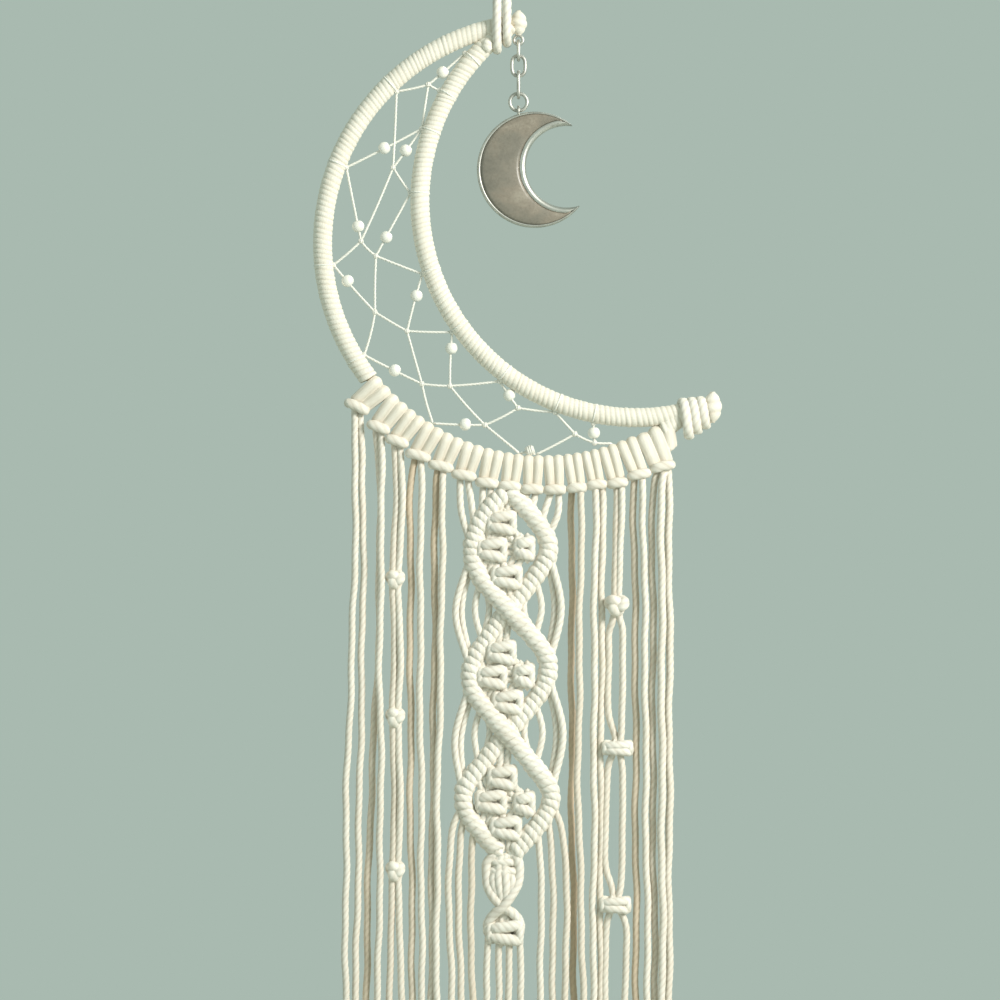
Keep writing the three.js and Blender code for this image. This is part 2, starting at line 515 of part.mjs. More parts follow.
// The middle panel: five lark's heads, the bars, the knots and the cords between and below them
const buildPanel = () => {
  const pieces = [];
  for (let number = panel.firstHead; number <= panel.lastHead; number += 1) pieces.push(...headPieces(number));
  const apex = bars[0];
  for (let order = 0; order < 10; order += 1) {
    const number = panel.firstHead + Math.floor(order / 2);
    const side = order % 2 === 0 ? -1 : 1;
    const bar = order < 5 ? bars[0] : bars[1];
    const share = Math.abs(order - 4.5) / 4.6;
    const end = [apex.x1 + share * (bar.x2 - apex.x1), bar.y, apex.z1 + share * (bar.z2 - apex.z1)];
    const start = headOutlet(number, side, 0);
    const bow = (order === 0 || order === 9) ? side * 1.6 : 0;
    const middle = [(start[0] + end[0]) / 2 + bow, frontDepth, (start[2] + end[2]) / 2];
    pieces.push(strand([start, middle, end], 2));
  }
  bars.forEach(({ x1, z1, x2, z2, y }) => {
    const length = Math.hypot(x2 - x1, z2 - z1);
    const turns = Math.round(length / panel.ridgePitch);
    const rod = ridgedRod(length / 2, turns, panel.barRadius, panel.barRadius - 0.9, 5);
    pieces.push(place(rod, [x1, y, z1], [x2, y, z2]));
  });
  diamondKnots.forEach((knot) => pieces.push(knotLump(knot)));
  endKnots.forEach((knot) => pieces.push(knotLump({ ...knot, depth: 9, ribs: 3 })));
  // Cords from crossing to crossing through the knots: one by the left knot, one by the right
  for (let diamond = 0; diamond < 3; diamond += 1) {
    const [top, left, right, bottom] = diamondKnots.slice(4 * diamond, 4 * diamond + 4);
    const route = (stops) => stops.map(({ x, z }) => [x, frontDepth, z]);
    pieces.push(strand(route([crossings[diamond], top, left, bottom, crossings[diamond + 1]]), 6));
    pieces.push(strand(route([top, right, bottom]), 3));
  }
  pieces.push(strand([[waist.x, frontDepth, waist.fromZ], [waist.x, frontDepth, waist.toZ]], 1, waist.width));
  sideCords.forEach(({ x1, z1, xm, zm, x2, z2, y }) => {
    pieces.push(strand([[x1, y, z1], [xm, y, zm], [x2, y, z2]], 2, 0.9 * cordWidth));
  });
  panelEnds.forEach(({ x1, z1, x, xm, y, end }) => {
    const depth = frontDepth + y;
    const bend = z1 - 22;
    pieces.push(strand([
      [x1, frontDepth, z1], [x, depth, bend], [xm, depth, hangs.z4 - 10], [xm, depth, strandEnd + end],
    ], strandSteps));
  });
  return toGeometry(join(pieces));
};

// The web
const webPlaces = () => {
  const places = {};
  Object.entries(outerAnchors).forEach(([name, degrees]) => {
    places[name] = onCircle(hoop.outer, degrees, -thread.anchorReach);
  });
  Object.entries(innerAnchors).forEach(([name, degrees]) => {
    places[name] = onCircle(hoop.inner, degrees, thread.anchorReach);
  });
  Object.entries(webKnots).forEach(([name, { x, z }]) => {
    places[name] = [x, 0, z];
  });
  return places;
};

const buildWeb = (places) => {
  const knots = Object.keys(webKnots).map((name) =>
    new THREE.OctahedronGeometry(thread.knotRadius).translate(...places[name]));
  const threads = webLinks.map((ends) => {
    const [from, to] = ends.split(' ').map((name) => new THREE.Vector3(...places[name]));
    return along(polygon(3, thread.radius), new THREE.LineCurve3(from, to), 1);
  });
  return toGeometry(join([...knots, ...threads]));
};

const buildBead = (places, { link: ends, at }) => {
  const [from, to] = ends.split(' ').map((name) => new THREE.Vector3(...places[name]));
  const { radius, holeRadius, halfLength } = bead;
  const ball = turned([[holeRadius, -halfLength], [0.94 * radius, -0.4 * halfLength],
    [0.94 * radius, 0.4 * halfLength], [holeRadius, halfLength], [holeRadius, -halfLength]], 7);
  const turn = new THREE.Quaternion().setFromUnitVectors(
    new THREE.Vector3(0, 1, 0), to.clone().sub(from).normalize());
  ball.applyQuaternion(turn);
  const middle = from.lerp(to, at);
  return toGeometry(toSolid(ball.translate(middle.x, middle.y, middle.z)));
};

// The chain: each part hangs on the wire above it, turned a quarter round from it
const hangBelow = (upperEnd) => upperEnd + 2 * wire + gap;

const buildChain = () => {
  const eyeBottom = chain.z - smallEye.radius;
  const parts = [];
  let top = eyeBottom + smallEye.wire + wire + gap;
  const hang = (name, width, tall, faceOn) => {
    const middle = top - tall / 2;
    const geometry = wireLoop(width, tall, wire);
    if (!faceOn) geometry.rotateZ(Math.PI / 2);
    parts.push({ name, geometry: geometry.translate(chain.x, 0, middle) });
    top = hangBelow(top - tall);
  };
  hang('chain_link_top', link.width, link.tall, false);
  hang('chain_link_face', link.faceWidth, link.faceTall, true);
  hang('chain_link_low', link.width, link.longTall, false);
  hang('chain_ring', 2 * ringRadius, 2 * ringRadius, true);
  return { parts, eyeTop: top - wire + smallEye.wire };
};

// The charm: a crescent plate with raised rims, an eye above, and a stone in its recess
const crescentShape = ({ outerRadius, innerRadius, innerShiftX, innerShiftZ }, inset = 0, steps = 16) => {
  const outside = { x: 0, z: 0, radius: outerRadius - inset * charm.outerRim };
  const inside = { x: innerShiftX, z: innerShiftZ, radius: innerRadius + inset * charm.rim };
  const outsideAngles = crossingAngles(outside, inside);
  const insideAngles = crossingAngles(inside, outside);
  const sweep = (circle, from, to, count) =>
    Array.from({ length: count }, (_, i) => onCircle(circle, from + (to - from) * i / count));
  const points = [
    ...sweep(outside, outsideAngles[0], outsideAngles[1], steps),
    ...sweep(inside, insideAngles[0], insideAngles[1] - 360, Math.round(0.75 * steps)),
  ];
  return new THREE.Shape(points.map(([x, , z]) => new THREE.Vector2(x, z)));
};

const plate = (shape, fromY, toY) => {             // a flat plate in the XZ plane between two depths
  const geometry = new THREE.ExtrudeGeometry(shape, { depth: toY - fromY, bevelEnabled: false });
  return geometry.rotateX(Math.PI / 2).translate(0, toY, 0);
};

const buildCharm = (eyeTop) => {
  const half = charm.thickness / 2;
  const eyeMiddle = eyeTop - smallEye.radius;
  const middle = [chain.x + charm.middleX, charm.middleY, eyeMiddle - smallEye.radius + 0.5 - Math.sqrt(
    charm.outerRadius ** 2 - charm.middleX ** 2)];
  const body = toSolid(plate(crescentShape(charm), -half, half));
  const recess = toSolid(plate(crescentShape(charm, 1), -half - 1, half - 1.6));
  const eye = wireLoop(2 * smallEye.radius, 2 * smallEye.radius, smallEye.wire, 10).rotateZ(Math.PI / 2)
    .translate(chain.x - middle[0], -middle[1], eyeMiddle - middle[2]);
  const bezel = toGeometry(body.subtract(recess).add(toSolid(eye))).translate(...middle);
  const inlayShape = crescentShape({
    ...charm,
    outerRadius: charm.outerRadius - charm.outerRim - 1.5 * gap,
    innerRadius: charm.innerRadius + charm.rim + 1.5 * gap,
  });
  const inlay = toGeometry(toSolid(plate(inlayShape, -half - charm.stoneProud, half - 1.6 - gap)))
    .translate(...middle);
  return { bezel, inlay };
};

addMesh('crescent_hoop', buildHoop(), cotton());
addMesh('hanging_loop', buildLoop(), cotton());
addMesh('horn_binding', buildHornWrap(sideWinding), cotton());

const places = webPlaces();
addMesh('thread_web', buildWeb(places), threadWhite());
beads.forEach((row, order) => addMesh(`bead_${order + 1}`, buildBead(places, row), beadWhite()));

const addPairs = (side, strands) => {
  [...new Set(strands.map((row) => row.head))].forEach((number, order) => {
    const pair = buildPair(number, strands.filter((row) => row.head === number));
    addMesh(`cords_${side}_${order + 1}`, pair, cotton());
  });
};
addPairs('left', leftStrands);
addMesh('macrame_panel', buildPanel(), cotton());
addPairs('right', rightStrands);

const hung = buildChain();
hung.parts.forEach(({ name, geometry }) => addMesh(name, geometry, silver()));
const { bezel, inlay } = buildCharm(hung.eyeTop);
addMesh('charm_bezel', bezel, silver());
addMesh('charm_stone', inlay, stone());

export default part;
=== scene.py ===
import bpy
import numpy as np
from numpy import array, clip, concatenate, cos, cross, linspace, maximum, minimum, pi, sin, stack, vstack
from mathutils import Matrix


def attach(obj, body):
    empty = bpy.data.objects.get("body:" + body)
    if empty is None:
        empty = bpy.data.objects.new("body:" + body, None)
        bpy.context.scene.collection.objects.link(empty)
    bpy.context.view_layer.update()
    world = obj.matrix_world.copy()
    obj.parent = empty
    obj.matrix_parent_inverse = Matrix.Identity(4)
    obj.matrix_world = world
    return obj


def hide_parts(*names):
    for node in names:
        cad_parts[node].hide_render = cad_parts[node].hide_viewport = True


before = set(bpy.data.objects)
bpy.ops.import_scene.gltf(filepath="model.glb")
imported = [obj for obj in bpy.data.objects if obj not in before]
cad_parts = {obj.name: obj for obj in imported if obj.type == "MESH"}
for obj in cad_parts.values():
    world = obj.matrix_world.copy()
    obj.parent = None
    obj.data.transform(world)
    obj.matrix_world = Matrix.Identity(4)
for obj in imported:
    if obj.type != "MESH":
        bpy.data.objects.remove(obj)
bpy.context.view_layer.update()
print("frame loaded")

# Shapes below are in millimetres: X right, Z up, the front faces -Y, the origin is inside the hanging loop's
# top
mm = 0.001
depthAxis = array([0.0, 1.0, 0.0])
rightAxis = array([1.0, 0.0, 0.0])
upAxis = array([0.0, 0.0, 1.0])
rng = np.random.default_rng(7)

# Camera and light

picture = {"middleX": -1.35, "middleZ": -265.5, "distance": 1400, "height": 450, "sensor": 36}

camera = bpy.data.objects.new("photoCamera", bpy.data.cameras.new("photoCamera"))
camera.data.sensor_width = picture["sensor"]
camera.data.lens = picture["sensor"] * picture["distance"] / picture["height"]
camera.location = (picture["middleX"] * mm, -picture["distance"] * mm, picture["middleZ"] * mm)
camera.rotation_euler = (pi / 2, 0, 0)
bpy.context.collection.objects.link(camera)
bpy.context.scene.camera = camera
bpy.context.scene.view_settings.view_transform = "Standard"

lampAim = (0.0, 0.0, -0.28)
lamps = {
    "windowLight": {"place": (0.95, -0.85, 0.25), "size": 0.4, "power": 21.0, "colour": (1.0, 0.975, 0.93)},
    "roomLight": {"place": (-0.9, -1.2, 0.1), "size": 1.2, "power": 1.6, "colour": (0.95, 0.98, 1.0)},
    "backLight": {"place": (0.5, 1.2, 0.5), "size": 1.0, "power": 5.5, "colour": (1.0, 0.98, 0.95)},
}

for lampName, values in lamps.items():  # square lamps, turned to lampAim
    lamp = bpy.data.objects.new(lampName, bpy.data.lights.new(lampName, "AREA"))
    lamp.data.size, lamp.data.energy, lamp.data.color = values["size"], values["power"], values["colour"]
    lamp.location = values["place"]
    aim = array(lampAim) - array(values["place"])
    lamp.rotation_euler = (np.arctan2(np.hypot(aim[0], aim[1]), -aim[2]), 0,
                           np.arctan2(aim[1], aim[0]) - pi / 2)
    bpy.context.collection.objects.link(lamp)


# Materials


def linear(hexColour):  # sRGB hex to linear red, green, blue, alpha
    parts = array([int(hexColour[i:i + 2], 16) for i in (1, 3, 5)]) / 255
    parts = np.where(parts <= 0.04045, parts / 12.92, ((parts + 0.055) / 1.055) ** 2.4)
    return (*parts.tolist(), 1.0)


def addNode(tree, kind, inputs=None, **settings):
    node = tree.nodes.new(kind)
    for name, value in settings.items():
        setattr(node, name, value)
    for name, value in (inputs or {}).items():
        if isinstance(value, bpy.types.NodeSocket):
            tree.links.new(value, node.inputs[name])
        else:
            node.inputs[name].default_value = value
    return node


def noiseField(tree, place, scale, detail, roughness=0.5, distortion=0.0, dimensions="3D"):
    return addNode(tree, "ShaderNodeTexNoise", {
        "Vector": place, "Scale": scale, "Detail": detail, "Roughness": roughness, "Distortion": distortion,
    }, noise_dimensions=dimensions).outputs[0]


def mapRange(tree, value, fromMin, fromMax, toMin, toMax):
    return addNode(tree, "ShaderNodeMapRange", {
        "Value": value, "From Min": fromMin, "From Max": fromMax, "To Min": toMin,
        "To Max": toMax}).outputs[0]


def mixColour(tree, share, first, second):
    mix = addNode(tree, "ShaderNodeMix", {"Factor": share, "A": first, "B": second}, data_type="RGBA")
    return mix.outputs["Result"]


def bumpFrom(tree, height, strength, depth):  # depth in mm
    return addNode(tree, "ShaderNodeBump", {
        "Height": height, "Strength": strength, "Distance": depth * mm}).outputs[0]


def newMaterial(name):
    material = bpy.data.materials.new(name)
    material.use_nodes = True
    material.node_tree.nodes.clear()
    return material, material.node_tree


def objectPlace(tree):
    return addNode(tree, "ShaderNodeTexCoord").outputs["Object"]


def addSurface(tree, values):  # the shader with its values, and the output it goes to
    shader = addNode(tree, "ShaderNodeBsdfPrincipled", values)
    addNode(tree, "ShaderNodeOutputMaterial", {"Surface": shader.outputs[0]})


cottonLook = {  # blotches about 10 mm across; shares of the darker colours, the valley one painted shade between plies; fibres lean a little on the cord
    "blotchScale": 90.0, "blotchShare": 0.14, "fibreShare": 0.18, "valleyShadeShare": 0.34, "fibreLean": 0.12,
    "bump": 0.9,
    "sheenTint": "#fff6e2",
}
cottons = {  # colours on the crests; of tan, used for random blotches and as painted shade on cords in shadow; of fibres and the painted shade between plies; a fibre's width, length and depth in mm
    "twistedCottonCord": ("#faf7ee", "#ccb290", "#b8a68d", 0.22, 3.0, 0.14),
    "cottonHoopYarn": ("#eeeadf", "#d8c4a6", "#b7a388", 0.2, 2.0, 0.1),
    "waxedCottonThread": ("#f6f5ee", "#e0dbcd", "#c4bfb0", 0.15, 1.5, 0.05),
}


def cottonMaterial(name, pale, tanAndShade, fibreAndValleyShade, fibreWidth, fibreLength, depth):
    # Cotton spun from short fibres: no gloss, a soft halo of loose fibre, and painted shade that darkens the colour
    # where the plies meet
    material, tree = newMaterial(name)
    tone, valleyShade = (addNode(tree, "ShaderNodeAttribute", attribute_name=key).outputs["Fac"]
                    for key in ("tone", "valleyShade"))
    stretched = addNode(tree, "ShaderNodeMapping", {
        "Vector": addNode(tree, "ShaderNodeUVMap", uv_map="cordUv").outputs[0],
        "Rotation": (0, 0, cottonLook["fibreLean"]), "Scale": (1 / fibreWidth, 1 / fibreLength,
                                                               1)}).outputs[0]
    fibres = noiseField(tree, stretched, 1.0, 3.0, 0.6, dimensions="2D")
    blotches = noiseField(tree, objectPlace(tree), cottonLook["blotchScale"], 2.0)
    # painted shade: the per-point crevice attribute darkens the colour between plies and between turns of yarn
    valleyShadeShare = addNode(tree, "ShaderNodeMath", {0: valleyShade, 1: cottonLook["valleyShadeShare"]},
                          operation="MULTIPLY")
    # the tone attribute mixes in the tan colour as painted shade
    colour = mixColour(tree, tone, linear(pale), linear(tanAndShade))
    for share, dark in ((mapRange(tree, blotches, 0.35, 0.75, 0.0, cottonLook["blotchShare"]), tanAndShade),
                        (mapRange(tree, fibres, 0.3, 0.7, cottonLook["fibreShare"], 0.0), fibreAndValleyShade),
                        (valleyShadeShare.outputs[0], fibreAndValleyShade)):
        colour = mixColour(tree, share, colour, linear(dark))
    addSurface(tree, {
        "Base Color": colour, "Normal": bumpFrom(tree, fibres, cottonLook["bump"], depth), "Roughness": 0.92,
        "Specular IOR Level": 0.25, "Sheen Weight": 0.25, "Sheen Roughness": 0.5,
        "Sheen Tint": linear(cottonLook["sheenTint"])})
    return material


def pearlMaterial():  # moulded acrylic bead with a pearl coat: white, smooth, a soft highlight
    material, tree = newMaterial("pearlAcrylic")
    clouds = noiseField(tree, objectPlace(tree), 400.0, 2.0)
    addSurface(tree, {"Base Color": mixColour(tree, clouds, linear("#f7f5ef"), linear("#e4e0d4")),
                      "Roughness": 0.28, "IOR": 1.49, "Coat Weight": 0.4})
    return material


def antiqueSilver():
    # Cast zinc alloy, plated and rubbed back: bright edges, grey in the hollows, fine scratches
    material, tree = newMaterial("antiqueSilverPlate")
    place = objectPlace(tree)
    tarnish = noiseField(tree, place, 260.0, 4.0, 0.65)  # blotches about 4 mm across
    scratches = noiseField(tree, place, 2200.0, 2.0)  # grit about 0.5 mm
    tarnishShare = mapRange(tree, tarnish, 0.4, 0.75, 0.0, 0.7)
    addSurface(tree, {
        "Base Color": mixColour(tree, tarnishShare, linear("#d2d1ca"), linear("#9c9a92")), "Metallic": 1.0,
        "Roughness": mapRange(tree, tarnish, 0.3, 0.8, 0.36, 0.58),
        "Normal": bumpFrom(tree, scratches, 0.35, 0.05)})
    return material


stoneColours = [(0.28, "#6d695f"), (0.45, "#807a6e"), (0.58, "#8c8274"), (0.72, "#a39b8c")]


def polishedStone():  # grey-brown polished stone slice: cloudy warm patches under a low polish
    material, tree = newMaterial("polishedGreyStone")
    place = objectPlace(tree)
    clouds = noiseField(tree, place, 55.0, 5.0, 0.55, 0.6)  # about 16 mm across
    grain = noiseField(tree, place, 900.0, 3.0, 0.6)  # about 1 mm
    ramp = addNode(tree, "ShaderNodeValToRGB", {"Fac": clouds})
    while len(ramp.color_ramp.elements) < len(stoneColours):
        ramp.color_ramp.elements.new(0.5)
    for element, (at, hexColour) in zip(ramp.color_ramp.elements, stoneColours):
        element.position = at
        element.color = linear(hexColour)
    grainShare = mapRange(tree, grain, 0.45, 0.7, 0.0, 0.3)
    addSurface(tree, {
        "Base Color": mixColour(tree, grainShare, ramp.outputs[0], linear("#5f574a")),
        "Normal": bumpFrom(tree, grain, 0.25, 0.08), "Roughness": 0.42, "IOR": 1.54, "Coat Weight": 0.25,
        "Coat Roughness": 0.25})
    return material


cotton, wrapCotton, webCotton = (cottonMaterial(name, *look) for name, look in cottons.items())
pearl = pearlMaterial()
silver = antiqueSilver()
stone = polishedStone()
print("materials made")


# Surfaces


def unit(vectors):  # each vector divided by its length
    return vectors / maximum(np.linalg.norm(vectors, axis=-1, keepdims=True), 1e-9)


def fullTurn(count):  # angles once round, in equal steps
    return linspace(0, 2 * pi, count, endpoint=False)


def lengthsAlong(path):  # distance gone at each point of a path
    return concatenate([[0.0], np.cumsum(np.linalg.norm(np.diff(path, axis=0), axis=1))])


def pointsAt(path, gone, at):  # where a path is after a given distance, straight between its points
    return stack([np.interp(at, gone, path[:, k]) for k in range(3)], axis=-1)


def evenSteps(path, spacing):  # the same path with its points an equal distance apart
    gone = lengthsAlong(path)
    return pointsAt(path, gone, linspace(0, gone[-1], max(4, int(round(gone[-1] / spacing)) + 1)))


def evenRing(path, spacing):  # the same for a closed curve, without its first point again at the end
    return evenSteps(vstack([path, path[:1]]), spacing)[:-1]


def smoothPath(points, spacing=1.1):
    # Catmull-Rom: between two points, a cubic whose slope at each is half the step between its neighbours
    p = array(points, float)
    p = vstack([2 * p[0] - p[1], p, 2 * p[-1] - p[-2]])
    a, b, c, d = (q[:, None, :] for q in (p[:-3], p[1:-2], p[2:-1], p[3:]))
    t = linspace(0, 1, 24, endpoint=False)[None, :, None]
    curve = 0.5 * (2 * b + (c - a) * t + (2 * a - 5 * b + 4 * c - d) * t ** 2 + (3 * b - a - 3 * c + d) * t ** 3)
    return evenSteps(vstack([curve.reshape(-1, 3), p[-2]]), spacing)


def gridPart(points, valleyShade=0.0, tone=0.0, uSize=10.0, vAt=None, ring=False):
    # A closed surface from rows of points that run round: each row is joined to the next, and each end is
    # closed
    # by a fan to its middle. A ring joins its last row to its first one instead.
    rows, cols = points.shape[:2]
    i, j = np.arange(rows if ring else rows - 1)[:, None], np.arange(cols)[None, :]
    nextI, nextJ = (i + 1) % rows, (j + 1) % cols
    quads = stack([i * cols + j, i * cols + nextJ, nextI * cols + nextJ, nextI * cols + j],
                  axis=-1).reshape(-1, 4)
    vAt = np.arange(rows, dtype=float) if vAt is None else vAt
    zero = np.zeros_like(i + j, dtype=float)
    u0, u1 = zero + j * uSize / cols, zero + (j + 1) * uSize / cols
    v0, v1 = zero + vAt[i], zero + np.append(vAt, 2 * vAt[-1] - vAt[-2])[i + 1]
    quadUv = stack([u0, v0, u1, v0, u1, v1, u0, v1], axis=-1).reshape(-1, 4, 2)
    flat = points.reshape(-1, 3)
    valleyShade = np.broadcast_to(valleyShade, (rows, cols)).reshape(-1)
    tone = np.broadcast_to(np.reshape(tone, (-1, 1)) if np.ndim(tone) == 1 else tone,
                           (rows, cols)).reshape(-1)
    tris = np.zeros((0, 3), int)
    if not ring:
        last, one = (rows - 1) * cols, np.arange(cols)
        two = (one + 1) % cols
        tris = vstack([stack([np.full(cols, rows * cols), two, one], 1),
                       stack([np.full(cols, rows * cols + 1), last + one, last + two], 1)])
        flat = vstack([flat, points[0].mean(axis=0), points[-1].mean(axis=0)])
        # the end caps get a little painted shade
        valleyShade = np.append(valleyShade, [0.3, 0.3])
        tone = np.append(tone, [tone[0], tone[-1]])
    # Six times the volume inside: where it is below zero, the faces look inwards and are turned round
    a, b, c, d = (flat[quads[:, k]] for k in range(4))
    volume = np.einsum("ij,ij->", a, cross(b, c)) + np.einsum("ij,ij->", a, cross(c, d))
    volume += np.einsum("ij,ij->", flat[tris[:, 0]], cross(flat[tris[:, 1]], flat[tris[:, 2]]))
    if volume < 0:
        quads, quadUv, tris = quads[:, ::-1], quadUv[:, ::-1], tris[:, ::-1]
    return {"points": flat, "quads": quads, "uv": quadUv.reshape(-1, 2), "tris": tris, "valleyShade": valleyShade,
            "tone": tone}


def makePiece(name, parts, material, nodes, body="wall_hanging"):
    # All the parts go into one mesh, quads first and then triangles; the triangles at cord ends need no uv
    starts = np.cumsum([0] + [len(part["points"]) for part in parts])
    quads, tris = (vstack([part[key] + start for part, start in zip(parts, starts)]) for key in ("quads",
                                                                                                 "tris"))
    points = vstack([part["points"] for part in parts]) * mm
    uv = vstack([part["uv"] for part in parts] + [np.zeros((3 * len(tris), 2))])
    mesh = bpy.data.meshes.new(name)
    mesh.from_pydata(points.tolist(), [], quads.tolist() + tris.tolist(), shade_flat=False)
    mesh.uv_layers.new(name="cordUv").data.foreach_set("uv", uv.astype(np.float32).ravel())
    for key in ("valleyShade", "tone"):
        values = concatenate([part[key] for part in parts]).astype(np.float32)
        mesh.attributes.new(key, "FLOAT", "POINT").data.foreach_set("value", values)
    mesh.materials.append(material)
    mesh.update()
    piece = bpy.data.objects.new(name, mesh)
    bpy.context.collection.objects.link(piece)
    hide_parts(*nodes)
    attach(piece, body)
    print(name, "triangles", 2 * len(quads) + len(tris))


cord = {"radius": 1.66, "lay": 10.5, "plies": 3, "valleyDepth": 0.1, "around": 12}


def cordPart(path, radius=cord["radius"], across=depthAxis, lay=cord["lay"], flat=1.0, tone=0.0, start=0.0,
             plies=cord["plies"], depth=cord["valleyDepth"], around=cord["around"], endLength=0.8, ring=False,
             twist=True):
    # A section of three lobes is carried along the path and makes one full turn in each lay length. flat
    # squeezes it
    # in the direction across; the ends are rounded off over endLength radii.
    tangent = unit(np.roll(path, -1, axis=0) - np.roll(path, 1, axis=0) if ring else np.gradient(path,
                                                                                                 axis=0))
    across = np.broadcast_to(across, path.shape)
    side = unit(across - np.einsum("ij,ij->i", across, tangent)[:, None] * tangent)
    up = cross(tangent, side)
    gone = lengthsAlong(path)
    theta = np.arange(around) * 2 * pi / around
    lobe = np.abs((theta * plies / (2 * pi) + 0.5) % 1 - 0.5) * 2  # 0 on a crest, 1 between two plies
    section = 1 - depth * lobe ** 1.6
    if ring:
        taper = np.ones(len(path))
        turns = max(1, round(gone[-1] / lay)) * 2 * pi * np.arange(len(path)) / len(path)
    else:
        near = minimum(gone, gone[-1] - gone) / (endLength * np.mean(radius))
        taper = np.sqrt(maximum(1 - (1 - minimum(near, 1)) ** 2, 0.02))
        turns = 2 * pi * gone / lay
    angle = theta[None, :] + (turns * twist + start)[:, None]
    size = (section[None, :] * (taper * radius)[:, None])[..., None]
    points = path[:, None, :] + size * (
        flat * cos(angle)[..., None] * side[:, None, :] + sin(angle)[..., None] * up[:, None, :])
    # the value between two plies is painted shade in the colour
    return gridPart(points, valleyShade=clip(lobe, 0, 1)[None, :] ** 2, tone=tone, uSize=2 * pi * np.mean(radius),
                    vAt=gone, ring=ring)


# The crescent hoop: two arcs as x, z and radius, and the knobs of yarn on the horns as middle, half size and
# lean

hoop = {
    "tubeRadius": 4.35, "yarnPitch": 2.3, "yarnRidge": 0.28, "yarnSlant": 0.35, "bareRadius": 1.4,
    "stubRadius": 3.2,
    "outer": (18.3, -150.0, 99.5), "inner": (60.0, -131.0, 97.4),
    "knobs": (((7.0, 0.0, -50.9), (3.9, 4.3, 5.6), 0.06), ((94.3, 0.0, -223.8), (4.3, 4.4, 7.0), -0.05)),
}
head = {
    "thickness": 1.4, "widthShare": 0.51, "narrowing": 0.28, "edgeAngle": 3.0, "lastEdge": 4.2,
    "ringReach": 2.85,
    "lastPress": 0.75, "lowDepth": 1.3, "tone": 0.18, "barRadius": 2.45, "barY": -3.0, "barAngle": 0.056,
    "tiltShare": 0.5, "turnGap": 0.9, "thirdReach": 0.62, "turnLay": 9.0, "barLay": 12.0, "barFlat": 0.85,
}
# Each lark's head: degrees round the outer circle, and how far outside the ring its bar lies
headPlaces = [
    (-138.9, 12.0), (-132.0, 11.6), (-126.6, 11.2), (-120.7, 11.3), (-114.8, 10.8), (-109.0, 10.7),
    (-103.3, 11.1),
    (-98.0, 10.7), (-92.7, 11.1), (-87.4, 11.3), (-82.2, 11.4), (-77.6, 11.6), (-72.9, 13.2), (-67.5, 12.9),
    (-61.9, 14.2),
]


def onCircle(circle, degrees, reach=0.0, y=0.0):  # points at an angle on a circle, reach outside it
    x, z, radius = circle
    angle = np.radians(degrees)
    r = radius + reach
    return stack(np.broadcast_arrays(x + r * cos(angle), y, z + r * sin(angle)), axis=-1)


def crossingAngles(circle, other):  # where two circles cross, in degrees round the first one
    dx, dz = other[0] - circle[0], other[1] - circle[1]
    apart = np.hypot(dx, dz)
    towards = np.degrees(np.arctan2(dz, dx))
    spread = np.degrees(np.arccos((circle[2] ** 2 - other[2] ** 2 + apart ** 2) / (2 * circle[2] * apart)))
    return towards + spread, towards + 360 - spread


outerSweep = crossingAngles(hoop["outer"], hoop["inner"])
innerUpper, innerLower = crossingAngles(hoop["inner"], hoop["outer"])
sideTip = onCircle(hoop["outer"], outerSweep[1])


def arcPath(circle, fromAngle, toAngle):  # points about 1 mm apart on a circle
    return onCircle(circle, linspace(fromAngle, toAngle, int(abs(toAngle - fromAngle) * pi / 180 * circle[2])))


def ridgedTube(path, radius, slant):
    # Yarn wound close round a tube: the radius swells to a crest once a pitch, and each turn leans a little
    around, perTurn, pitch, ridge = 20, 6, hoop["yarnPitch"], hoop["yarnRidge"]
    gone = lengthsAlong(path)
    turns = int(round(gone[-1] / pitch))
    edges = concatenate([[0], np.cumsum(pitch * (1 + 0.12 * rng.standard_normal(turns)))])
    edges *= gone[-1] / edges[-1]
    share = np.arange(turns * perTurn + 1) / perTurn
    at = np.interp(share, np.arange(turns + 1), edges)
    swell = np.abs(sin(pi * share)) ** 0.55
    crests = ridge * (1 + 0.18 * rng.standard_normal(turns + 1))
    theta = np.arange(around) * 2 * pi / around
    moved = clip(at[:, None] + slant * pitch * sin(theta)[None, :], 0, gone[-1])
    middle = pointsAt(path, gone, moved)
    tangent = unit(pointsAt(unit(np.gradient(path, axis=0)), gone, moved))
    side = unit(cross(cross(tangent, depthAxis), tangent))
    up = cross(tangent, side)
    size = (radius - ridge + crests[minimum(share.astype(int), turns)] * swell)[:, None, None]
    points = middle + size * (cos(theta)[None, :, None] * side + sin(theta)[None, :, None] * up)
    # painted shade in the valleys between turns of yarn
    valleyShade = np.broadcast_to((1 - swell)[:, None] ** 1.5, points.shape[:2])
    return gridPart(points, valleyShade=valleyShade, uSize=pitch * 4, vAt=gone[-1] * share / turns)


def woundLump(middle, half, turns, lean, tone=0.0):
    # Yarn wound into an egg: the radius follows a sine from pole to pole, with a crest for each turn; turns
    # lean
    around, perTurn = 28, 9
    share = linspace(0, 1, turns * perTurn + 1)[:, None]
    theta = (np.arange(around) * 2 * pi / around)[None, :]
    swell = np.abs(sin(pi * turns * (share + lean * cos(theta)))) ** 0.6
    size = sin(pi * clip(share, 0.03, 0.97)) ** 0.55 * (0.86 + 0.14 * swell)
    points = stack([cos(theta) * size * half[0], sin(theta) * size * half[1],
                    (2 * share - 1) * half[2] + 0 * theta], axis=-1)
    # painted shade between the turns of yarn
    return gridPart(points + array(middle), valleyShade=1 - swell, tone=tone, uSize=12.0)


def headEdges(number):
    # the two sides of a head: half way to its neighbours, or a set angle where it has none
    angle = headPlaces[number][0]
    before = (angle + headPlaces[number - 1][0]) / 2 if number else angle - head["edgeAngle"]
    after = (angle + headPlaces[number + 1][0]) / 2 if number + 1 < len(headPlaces) else angle + head["lastEdge"]
    return before, after
